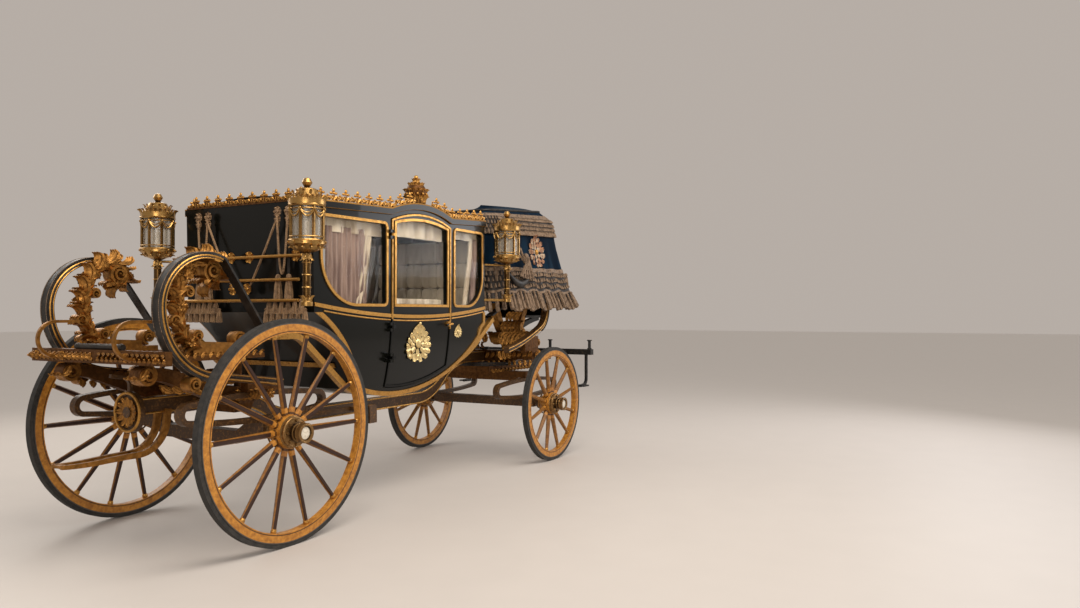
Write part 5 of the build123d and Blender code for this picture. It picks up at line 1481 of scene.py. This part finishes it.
def cluster_cords(side):
    """Loops of cord knotted above the bunch, and the two cords that carry them."""
    lines = []
    for strand in range(5):
        points = []
        for angle in around(60):
            reach = 0.022 + 0.014 * math.cos(3 * angle + strand * 1.05)
            x = CLUSTER_X + reach * 1.1 * math.cos(angle)
            y = CLUSTER_Y + 0.005 + 0.016 * math.sin(3 * angle + strand)
            points.append(Vector((x, side * y, CLUSTER_KNOT_Z + reach * 1.3 * math.sin(angle))))
        lines.append((points, 0.009, True))
    (top_y, top_z), (low_y, low_z) = CLUSTER_STAY_HIGH, CLUSTER_STAY_LOW
    for top_x, low_x in CLUSTER_STAYS:
        lines.append((arc((top_x, side * top_y, top_z), (low_x, side * low_y, low_z), 0.0, 8), 0.011, False))
    return lines


def pocket(side):
    """Rings of the leather roll that sags along the flank."""
    rings = []
    for step in range(25):
        share = step / 24
        bulge = math.sin(math.pi * share)
        low = POCKET_Z - POCKET_SAG * bulge
        deep = 0.006 + POCKET_ROLL * bulge
        ring = []
        for angle in around(12):
            y = POCKET_Y + POCKET_ROLL * math.sin(angle) * deep / 0.04
            ring.append((POCKET_X + POCKET_LENGTH * share, side * y, low + deep * math.cos(angle)))
        rings.append(ring)
    return rings


class COACH_OT_box_ornament(bpy.types.Operator):
    """Embroiders the hanging: round leaf ornaments, corner tassels, knotted cluster and pocket"""

    bl_idname = "coach.box_ornament"
    bl_label = "Box ornament"

    def execute(self, context):
        gold, pale = emblem_leaves()
        piece(repeated("box_emblem_leaves", acanthus(), both(gold), "embroidery"))
        piece(repeated("box_emblem_heart", acanthus(), both(pale), "pale_thread"))
        piece(formed("box_emblem_boss", emblem_bosses(), "leaf"))
        piece(repeated("box_corner_tassels", tassel(), hanging_tassels(), "braid"))
        piece(tubes("box_cluster", cluster_cords(1) + cluster_cords(-1), "braid"))
        roll = Form().loft(pocket(1)).loft(pocket(-1))
        piece(formed("box_pocket", roll, "leather"))
        return {"FINISHED"}


def back_x(z):
    """Inner face of the cabin's hollow back at a height."""
    middle_x, middle_z, radius = BACK_ARC
    if z > BELT_Z:
        return BACK_X
    return middle_x + math.sqrt(radius ** 2 - (z - middle_z) ** 2)


def front_x(z):
    """Inner face of the cabin's rounded front at a height."""
    return min(0.702, 0.616 + 0.5 * (z - 1.24))


def cushion(low, high, crown, count=72):
    """A crowned cushion with rounded edges, kept clear of the cabin's ends."""
    low, high = Vector(low), Vector(high)
    middle, half = (low + high) / 2, (high - low) / 2
    levels = 12
    rings = []
    for level in range(levels + 1):
        height = math.cos(math.pi * level / levels)
        spread = max(0.03, (1 - abs(height) ** 5) ** 0.22 if abs(height) < 1 else 0.0)
        ring = []
        for angle in around(count, 0.5):
            c, s = math.cos(angle), math.sin(angle)
            square = (abs(c) ** 8 + abs(s) ** 8) ** (-1 / 8) * spread
            x, y = square * c, square * s
            rise = height * half.z + max(0.0, height) * crown * (1 - x * x) * (1 - y * y)
            place = middle + Vector((x * half.x, y * half.y, rise))
            place.x = min(max(place.x, back_x(place.z)), front_x(place.z))
            ring.append(place)
        rings.append(ring)
    return Form().loft(rings)


def quilting():
    """Padded squares in rows over the cabin's two backs."""
    form = Form()
    for low, high in QUILT_X:
        for column in range(QUILT_COLUMNS):
            y = (column - (QUILT_COLUMNS - 1) / 2) * QUILT_PITCH
            for bottom, top in QUILT_Z:
                form.add(cushion((low, y - QUILT_HALF, bottom), (high, y + QUILT_HALF, top), 0.0, 28))
    return form


class COACH_OT_cabin(bpy.types.Operator):
    """Upholsters the cabin: cushions, backs, curtains and pelmets"""

    bl_idname = "coach.cabin"
    bl_label = "Cabin"

    def execute(self, context):
        for name, low, high in CUSHIONS:
            made = piece(formed(name, cushion(low, high, CUSHION_CROWN), "silk"))
        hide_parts("seat_cushions")
        backs = piece(formed("cabin_back_quilting", quilting(), "silk"))
        for name, door, *row in DRAPES:
            for side, label in ((1, "left"), (-1, "right")):
                body = f"door_{label}" if door else "chassis"
                drape(f"{name}_{label}", body, side, *row)
        return {"FINISHED"}


def drape(name, body, side, low_x, high_x, top, bottom, waves, lean, look):
    """A gathered curtain or pelmet just inside a window, drawn aside by lean at its foot."""
    columns = max(24, waves * 10)
    rings = []
    for column in range(columns + 1):
        part = column / columns
        wave = 0.010 * math.sin(2 * math.pi * waves * part + 0.6 * math.sin(9 * part))
        front, back = [], []
        for row in range(DRAPE_ROWS + 1):
            share = row / DRAPE_ROWS
            x = low_x + (high_x - low_x) * part + lean * share ** 1.6
            z = top + (bottom - top) * share
            y = hull_y(x, z) - DRAPE_INSET + wave * (0.5 + 0.5 * share)
            front.append((x, side * y, z))
            back.append((x, side * (y - DRAPE_THICK), z))
        rings.append(front + back[::-1])
    made = piece(formed(name, Form().loft(rings), look), body)


def side_gallery():
    """Fleurons and pairs of beads in turn along both sides of the roof, clear of the crowns."""
    rear_x, fore_x = CORNICE[0][0], CORNICE[-1][0]
    count = int((fore_x - rear_x) // PALMETTE_PITCH)
    first = (rear_x + fore_x) / 2 - (count - 1) / 2 * PALMETTE_PITCH
    spots, beads = [], []
    for index in range(2 * count - 1):
        x = first + index * PALMETTE_PITCH / 2
        y, z = wall_y(x), cornice_z(x) + ROOF_EDGE + 0.010
        if index % 2:
            for rise, size in ROOF_BEADS:
                beads += [bead((x, side * (y + 0.002), z + rise), size) for side in (1, -1)]
        elif abs(x - sum(DOOR_X) / 2) > CROWN_HALF:
            for turn, side in ((0, 1), (math.pi, -1)):
                spots.append(((x, y * side, z), (0, 0, turn), FLEURON_SIZE))
    return spots, beads


def end_gallery(x):
    """Fleurons and beads across one end of the roof."""
    z = cornice_z(x) + ROOF_EDGE
    across = int(2 * (wall_y(x) - 0.008) // PALMETTE_PITCH)
    spots, beads = [], []
    for index in range(across):
        y = (index - (across - 1) / 2) * PALMETTE_PITCH
        spots.append(((x, y, z + 0.010), (0, 0, math.pi / 2), FLEURON_SIZE))
        beads.append(bead((x, y + PALMETTE_PITCH / 2, z + 0.024), 0.011))
    return spots, beads


def crown(side):
    """Leaves and knobs of the crown over one door."""
    x = sum(DOOR_X) / 2
    y = side * (wall_y(x) - CROWN_INSET)
    z = cornice_z(x) + ROOF_EDGE + 0.014
    knobs = [bead((x, y, z + 0.205), 0.020)]
    for angle in around(12, 0.5):
        across, along = math.cos(angle), math.sin(angle)
        knobs.append(bead((x + CROWN_HALF * across, y + CROWN_HALF * along, z + 0.070), 0.010))
    leaves = []
    for height, size, reach, number, lean in CROWN_LEAVES:
        for angle in around(number):
            across, along = math.cos(angle), math.sin(angle)
            place = (x + reach * across, y + reach * along, z + height)
            leaves.append((place, facing((across * lean, along * lean, 1), (across, along, 0)), even(size)))
    return leaves, knobs


class COACH_OT_gallery(bpy.types.Operator):
    """Carves the roof gallery: a fleuron on every plate, beads between, leaves on the crowns"""

    bl_idname = "coach.gallery"
    bl_label = "Gallery"

    def execute(self, context):
        spots, beads = [], []
        for more, between in (side_gallery(), end_gallery(CORNICE[0][0]), end_gallery(CORNICE[-1][0])):
            spots += more
            beads += between
        piece(repeated("gallery_fleurons", fleuron(), spots, "leaf"))
        piece(repeated("gallery_beads", Form().ball(1.0, 8), beads, "leaf"))
        leaves, knobs = [left + right for left, right in zip(crown(1), crown(-1))]
        piece(repeated("crown_leaves", acanthus(), leaves, "leaf"))
        piece(repeated("crown_knobs", Form().ball(1.0, 10), knobs, "leaf"))
        return {"FINISHED"}


class COACH_OT_body_lines(bpy.types.Operator):
    """Draws the second belt line and the two cornice lines in gold bead"""

    bl_idname = "coach.body_lines"
    bl_label = "Body lines"

    def execute(self, context):
        fixed = []
        first_x, last_x = CORNICE[0][0], CORNICE[-1][0]
        for side, label in ((1, "left"), (-1, "right")):
            hung = []
            for first, last, group in BELT_SPANS:
                line = []
                for step in range(13):
                    x = first + (last - first) * step / 12
                    z = BELT_SECOND_Z + (x - BELT_LOW_X) ** 2 / (2 * BELT_SAG)
                    line.append(Vector((x, side * (hull_y(x, z) + 0.002), z)))
                (hung if group == "door" else fixed).append((line, BELT_THICK, False))
            piece(tubes(f"door_belt_{label}", hung, "gold"), f"door_{label}")
            for rise, proud in ((0.004, 0.010), (ROOF_EDGE, 0.012)):
                line = []
                for step in range(61):
                    x = first_x + (last_x - first_x) * step / 60
                    line.append(Vector((x, side * (wall_y(x) + proud), cornice_z(x) + rise)))
                fixed.append((line, CORNICE_THICK, False))
        piece(tubes("body_lines", fixed, "gold"))
        return {"FINISHED"}


def lamp_leaves(centre):
    """Leaves round a lamp's gallery, shoulders and stem, and beads round its foot ring."""
    leaves, beads = [], []
    for index, angle in enumerate(around(LAMP_PLACES)):
        out = Vector((math.cos(angle), math.sin(angle), 0))
        for share, reach, height, lean, rise, size in LAMP_LEAVES:
            if index % share == 0:
                growth = out * lean + above(rise)
                leaves.append((centre + out * reach + above(height), facing(growth, out), even(size)))
        if index % 2 == 0:
            beads.append(bead(centre + out * 0.120 + above(LAMP_LOW - 0.006), 0.008))
    return leaves, beads


def lamp_lines(centre):
    """A lamp's octagonal frames, its garlands with their beads, and the rings on its stem."""
    corners = [centre + Vector((math.cos(a), math.sin(a), 0)) * LAMP_CORNER for a in around(8, 0.5)]
    lines, beads = [], []
    for height, thick in LAMP_FRAMES:
        lines.append(([corner + above(height) for corner in corners], thick, True))
    for first, last in zip(corners, corners[1:] + corners[:1]):
        for sag, thick in LAMP_GARLANDS:
            ends = [corner + above(LAMP_HIGH - 0.03) for corner in (first, last)]
            lines.append((arc(*ends, sag, 10), thick, False))
        beads.append(bead(first + above(LAMP_HIGH - 0.032), 0.011))
        beads.append(bead((first + last) / 2 + above(LAMP_HIGH - 0.078), 0.007))
    for height in LAMP_STEM_RINGS:
        ring = [Vector((LAMP_STEM * math.cos(a), LAMP_STEM * math.sin(a), height)) for a in around(12)]
        lines.append(([centre + point for point in ring], 0.005, True))
    return lines, beads


class COACH_OT_lamps(bpy.types.Operator):
    """Details the four lamps: gallery, octagonal frames, garlands, beads and candles"""

    bl_idname = "coach.lamps"
    bl_label = "Lamps"

    def execute(self, context):
        leaves, beads, lines, candles = [], [], [], Form()
        for x, y, foot in LAMPS:
            for side in (1, -1):
                centre = Vector((x, y * side, foot))
                grown_leaves, foot_beads = lamp_leaves(centre)
                frames, hung_beads = lamp_lines(centre)
                leaves += grown_leaves
                beads += foot_beads + hung_beads
                lines += frames
                candles.add(Form().turned(CANDLE, 14), place=centre + above(LAMP_LOW + 0.005))
        piece(repeated("lamp_leaves", acanthus(), leaves, "brass"))
        piece(repeated("lamp_beads", Form().ball(1.0, 8), beads, "brass"))
        piece(tubes("lamp_garlands", lines, "brass", 6))
        piece(formed("lamp_candles", candles, "silk"))
        return {"FINISHED"}


def strap(y):
    """Rings of a flat strap that hangs down the cabin's back."""
    corners = [(STRAP_THICK * math.cos(a), STRAP_HALF * math.sin(a)) for a in around(4, 0.5)]
    return [[(HOLDER_X + dx, y + dy, z) for dx, dy in corners] for z in STRAP_HEIGHTS]


class COACH_OT_holders(bpy.types.Operator):
    """Hangs the footmen's holders: knots, cords, loops, tassels and fringe on the back"""

    bl_idname = "coach.holders"
    bl_label = "Holders"

    def execute(self, context):
        x = HOLDER_X
        knots, hanging, straps = [], [], Form()
        backward = facing((0, 0, 1), (-1, 0, 0))
        for side in (1, -1):
            for y in HOLDER_YS:
                for height, size in HOLDER_KNOTS:
                    knots.append(((x, side * y, height), backward, even(size)))
                straps.loft(strap(side * y))
                hanging.append(((x, side * y, STRAP_HEIGHTS[-1]), (0, 0, 0), HOLDER_TASSEL_SIZE))
            for index in range(HOLDER_FRINGE):
                y = side * (HOLDER_FRINGE_Y + HOLDER_FRINGE_PITCH * index)
                low, behind = HOLDER_FRINGE_ROWS[index % 2]
                hanging.append(((x - behind, y, low), (0, 0, 0), HOLDER_FRINGE_SIZE))
        piece(repeated("holder_knots", rosette(), knots, "cord"))
        bands = piece(formed("holder_straps", straps, "leather"))
        piece(repeated("holder_tassels", tassel(), hanging, "cord"))
        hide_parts("footman_holders")
        for side, label in ((1, "left"), (-1, "right")):
            for name, z, last_y, last_z, sag in HOLDER_CORDS:
                first = (x - 0.012, side * HOLDER_YS[0], z)
                points = arc(first, (x - 0.012, side * last_y, last_z), sag, 40)
                length = sum((b - a).length for a, b in zip(points, points[1:]))
                cord = piece(tubes(f"holder_{name}_{label}", [(points, 0.008, False)], "cord"))
        sockets = [((x - 0.012, y, z), backward, even(0.048)) for y, z in HOLDER_SOCKETS]
        piece(repeated("holder_sockets", rosette(), sockets, "leaf"))
        return {"FINISHED"}


def leaf_run(path, y, outside, size, spacing, offset, lean, first):
    """Leaves that grow out of the edge of a member in side view."""
    spots = []
    step = max(1, round(spacing / ROUTE_STEP))
    for x, z, angle in path[first::step]:
        along = Vector((math.cos(angle), 0, math.sin(angle)))
        out = Vector((-math.sin(angle), 0, math.cos(angle))) * outside
        growth = along * math.cos(lean) + out * math.sin(lean)
        spots.append((Vector((x, y, z)) + out * offset, growth, out, even(size)))
    return spots


def side_run(path, y, size, spacing, first):
    """Leaves laid alternately up and down along the outer face of a member."""
    spots = []
    step = max(1, round(spacing / ROUTE_STEP))
    for index, (x, z, angle) in enumerate(path[first::step]):
        sway = 1 if index % 2 else -1
        along = Vector((math.cos(angle), 0, math.sin(angle)))
        out = Vector((-math.sin(angle), 0, math.cos(angle))) * sway
        place = Vector((x, y, z)) - out * 0.012
        spots.append((place, along + out * 0.8, (0, 1 if y > 0 else -1, 0), (size * 0.7, size, size)))
    return spots


def leaf_row(first, last, count, growth, outward, size):
    """Leaves in a straight row."""
    first, last = Vector(first), Vector(last)
    return [(first.lerp(last, index / (count - 1)), growth, outward, even(size)) for index in range(count)]


def boss():
    """Leaves round the boss at the perch's rear end, and the points of its rim."""
    leaves = []
    for angle in around(12):
        out = (0, math.cos(angle), math.sin(angle))
        place = (BOSS_X, 0.026 * out[1], BOSS_Z + 0.026 * out[2])
        leaves.append((place, facing(out, (-1, 0, 0)), (0.04, 0.06, 0.075)))
    rim = []
    for angle in around(40):
        rim.append(Vector((BOSS_X - 0.004, BOSS_RIM * math.cos(angle), BOSS_Z + BOSS_RIM * math.sin(angle))))
    return leaves, rim


class COACH_OT_carving(bpy.types.Operator):
    """Carves acanthus, scrolls and flowers on the standards, beds, platform, perch and box"""

    bl_idname = "coach.carving"
    bl_label = "Carving"

    def execute(self, context):
        leaves, scrolls, flowers = [], [], []
        path = route(*STANDARD)
        for across in STANDARD_ROWS:
            for row in STANDARD_EDGES:
                leaves += leaf_run(path, STANDARD_Y + across, *row)
        for across, first in STANDARD_SIDES:
            leaves += side_run(path, STANDARD_Y + across, 0.090, 0.06, first)
        for row in LEAF_ROWS:
            leaves += leaf_row(*row)
        for x, y, z, size, turn in SCROLLS:
            for side in (1, -1) if y else (1,):
                scrolls.append(((x, y * side, z), (0, turn, 0), size))
        for x, y, z, size, outward in FLOWERS:
            flowers.append(((x, y, z), (0, 0, 1), outward, even(size)))
        piece(repeated("carved_leaves", acanthus(), both(leaves), "carved"))
        piece(repeated("carved_scrolls", volute(), scrolls, "carved"))
        piece(repeated("carved_flowers", rosette(), both(flowers), "carved"))
        disc, rim = boss()
        piece(repeated("boss_leaves", acanthus(), disc, "carved"))
        piece(tubes("boss_rim", [(rim, 0.009, True)], "gold"))
        roll = Form().add(Form().turned(ROLL, 20), place=ROLL_PLACE, turn=(math.pi / 2, 0, 0))
        piece(formed("platform_roll", roll, "leather"))
        return {"FINISHED"}


def spring_half(index, total):
    """Half-thickness of a spring at a point of its route."""
    return SPRING_ROOT + (SPRING_TIP - SPRING_ROOT) * index / total


def clasp(point, side, outside):
    """A block round the spring's tip and its brace, square to them."""
    angle = point[2]
    ring = [beside(point, (SPRING_Y + across) * side, out * outside) for out, across in CLASP]
    along = Vector((math.cos(angle), 0, math.sin(angle))) * CLASP_HALF
    return [[corner - along for corner in ring], [corner + along for corner in ring]]


class COACH_OT_springs(bpy.types.Operator):
    """Lines the springs in gilt, clasps the braces and stitches them"""

    bl_idname = "coach.springs"
    bl_label = "Springs"

    def execute(self, context):
        gilt, dark, stitches = [], [], []
        clasps = Form()
        for start, heading, runs, outside in SPRINGS:
            path = list(enumerate(route(start, heading, runs)))
            total = len(path) - 1
            for side in (1, -1):
                for face in (SPRING_Y - SPRING_FACE, SPRING_Y + SPRING_FACE):
                    for share, thick, gold in SPRING_LINES:
                        line = [beside(p, face * side, spring_half(i, total) * share) for i, p in path]
                        (gilt if gold else dark).append((line, thick, False))
                for edge in (-BRACE_EDGE, BRACE_EDGE):
                    line = []
                    for index, point in path[len(path) // 3:]:
                        out = outside * (spring_half(index, total) + BRACE_OUT)
                        line.append(beside(point, (SPRING_Y + edge) * side, out))
                    stitches.append((line, 0.0018, False))
                clasps.loft(clasp(path[-3][1], side, outside))
        for rise in (PERCH_RISE, -PERCH_RISE):
            for side in (1, -1):
                line = [Vector((x, side * PERCH_HALF, z + rise)) for x, z, _ in route(*PERCH)]
                gilt.append((line, 0.007, False))
        piece(tubes("spring_gilt_lines", gilt, "gold", 6))
        piece(tubes("spring_dark_lines", dark, "black_iron", 6))
        piece(tubes("brace_stitching", stitches, "braid", 4))
        piece(formed("spring_clasps", clasps, "leaf"))
        return {"FINISHED"}


def spray(x, z, reach, side):
    """A full wreath of leaves round an oval boss, with a bud above, on the body's side."""
    spots = []

    def lay(dx, dz, growth, size):
        px, pz = x + dx, z + dz
        place = (px, side * (hull_y(px, pz) + 0.002), pz)
        turn = facing((growth[0], 0, growth[1]), (0, side, 0.1))
        spots.append((place, turn, (size * 0.45, size * 1.1, size)))

    for wide, high, number, size in CREST_WREATHS:
        for angle in around(number, 0.5):
            across, up = math.sin(angle), math.cos(angle)
            dx = wide * (1 - 0.35 * up) * reach * across
            lay(dx, high * reach * up - 0.1 * reach, (across, up + 0.3), reach * size)
    for lean in (-0.7, -0.35, 0, 0.35, 0.7):
        size = reach * (0.60 - 0.2 * abs(lean))
        lay(0.25 * reach * lean, reach * 0.55, (math.sin(lean), math.cos(lean)), size)
        lay(0.9 * reach * lean, -reach * 0.72, (math.sin(lean * 2.2), -0.3), reach * 0.34)
    middle = (x, side * (hull_y(x, z) + 0.004), z - 0.05 * reach)
    top = z + reach * 1.10
    bud = (x, side * (hull_y(x, top) + 0.01), top)
    oval = (reach * 0.24, reach * 0.12, reach * 0.30)
    return spots, [(middle, (0, 0, 0), oval), bead(bud, reach * 0.09)]


class COACH_OT_crests(bpy.types.Operator):
    """Lays leaf ornaments on the doors and quarters"""

    bl_idname = "coach.crests"
    bl_label = "Crests"

    def execute(self, context):
        quarters = [left + right for left, right in zip(spray(*QUARTER_CREST, 1), spray(*QUARTER_CREST, -1))]
        crests = [
            # name, body, leaves and beads
            ("door_left", "door_left", spray(*DOOR_CREST, 1)),
            ("door_right", "door_right", spray(*DOOR_CREST, -1)),
            ("quarter", "chassis", quarters),
        ]
        for name, body, (spots, balls) in crests:
            piece(repeated(f"{name}_crest_leaves", acanthus(), spots, "crest"), body)
            piece(repeated(f"{name}_crest_beads", Form().ball(1.0, 10), balls, "crest"), body)
        return {"FINISHED"}


def wheel_fittings(centre, radius, spokes, side):
    """Rings, nuts and the pale disc of a hub, and a collar where each spoke meets the felloe."""
    rings, nuts, collars = [], [], []
    outward = facing((0, side, 0), (1, 0, 0))
    for y, reach, thick in HUB_RINGS:
        ring = [Vector((reach * math.cos(a), y * side, reach * math.sin(a))) for a in around(40)]
        rings.append(([centre + point for point in ring], thick, True))
    for angle in around(8):
        place = Vector((NUT_CIRCLE * math.cos(angle), NUT_Y * side, NUT_CIRCLE * math.sin(angle)))
        nuts.append((centre + place, outward, NUT_SIZE))
    for angle in around(spokes, 0.5):
        out = Vector((math.sin(angle), 0, math.cos(angle)))
        place = centre + out * (radius - COLLAR_DEPTH) + Vector((0, side * (TRACK / 2 - 0.001), 0))
        collars.append((place, facing(out, (0, 1, 0)), COLLAR_SIZE))
    disc = [(centre + Vector((0, DISC_Y * side, 0)), outward, even(DISC_RADIUS))]
    return rings, nuts, disc, collars


class COACH_OT_wheels(bpy.types.Operator):
    """Details the wheels: hub rings, nuts, pale discs and spoke collars"""

    bl_idname = "coach.wheels"
    bl_label = "Wheels"

    def execute(self, context):
        nut = Form().turned(NUT, 6)
        lens = Form().turned(LENS, 32)
        collar = Form().turned(COLLAR, 12)
        for stem, axle_x, radius, spokes, side in WHEELS:
            rings, nuts, disc, collars = wheel_fittings(Vector((axle_x, 0, radius)), radius, spokes, side)
            piece(tubes(stem + "_rings", rings, "bronze", 8), stem)
            piece(repeated(stem + "_nuts", nut, nuts, "bronze"), stem)
            piece(repeated(stem + "_lens", lens, disc, "pale"), stem)
            piece(repeated(stem + "_collars", collar, collars, "gold"), stem)
        return {"FINISHED"}


OPERATORS = [
    COACH_OT_stage,
    COACH_OT_paint,
    COACH_OT_hammercloth,
    COACH_OT_box_ornament,
    COACH_OT_cabin,
    COACH_OT_gallery,
    COACH_OT_body_lines,
    COACH_OT_lamps,
    COACH_OT_holders,
    COACH_OT_carving,
    COACH_OT_springs,
    COACH_OT_crests,
    COACH_OT_wheels,
]
STEPS = [operator.bl_idname for operator in OPERATORS]


class COACH_PT_panel(bpy.types.Panel):
    """Every step of the dressing"""

    bl_idname = "COACH_PT_panel"
    bl_label = "Coach"
    bl_space_type = "VIEW_3D"
    bl_region_type = "UI"
    bl_category = "Coach"

    def draw(self, context):
        for step in STEPS:
            self.layout.operator(step)
        for name in ("lens", "yaw", "pitch", "key", "world"):
            self.layout.prop(context.scene.coach_stage, name)


CLASSES = [StageSettings, *OPERATORS, COACH_PT_panel]


def register():
    for made in CLASSES:
        bpy.utils.register_class(made)
    bpy.types.Scene.coach_stage = PointerProperty(type=StageSettings)


def unregister():
    del bpy.types.Scene.coach_stage
    for made in reversed(CLASSES):
        bpy.utils.unregister_class(made)


def main():
    register()
    for step in STEPS:
        group, name = step.split(".")
        getattr(getattr(bpy.ops, group), name)()


if __name__ == "__main__":
    main()
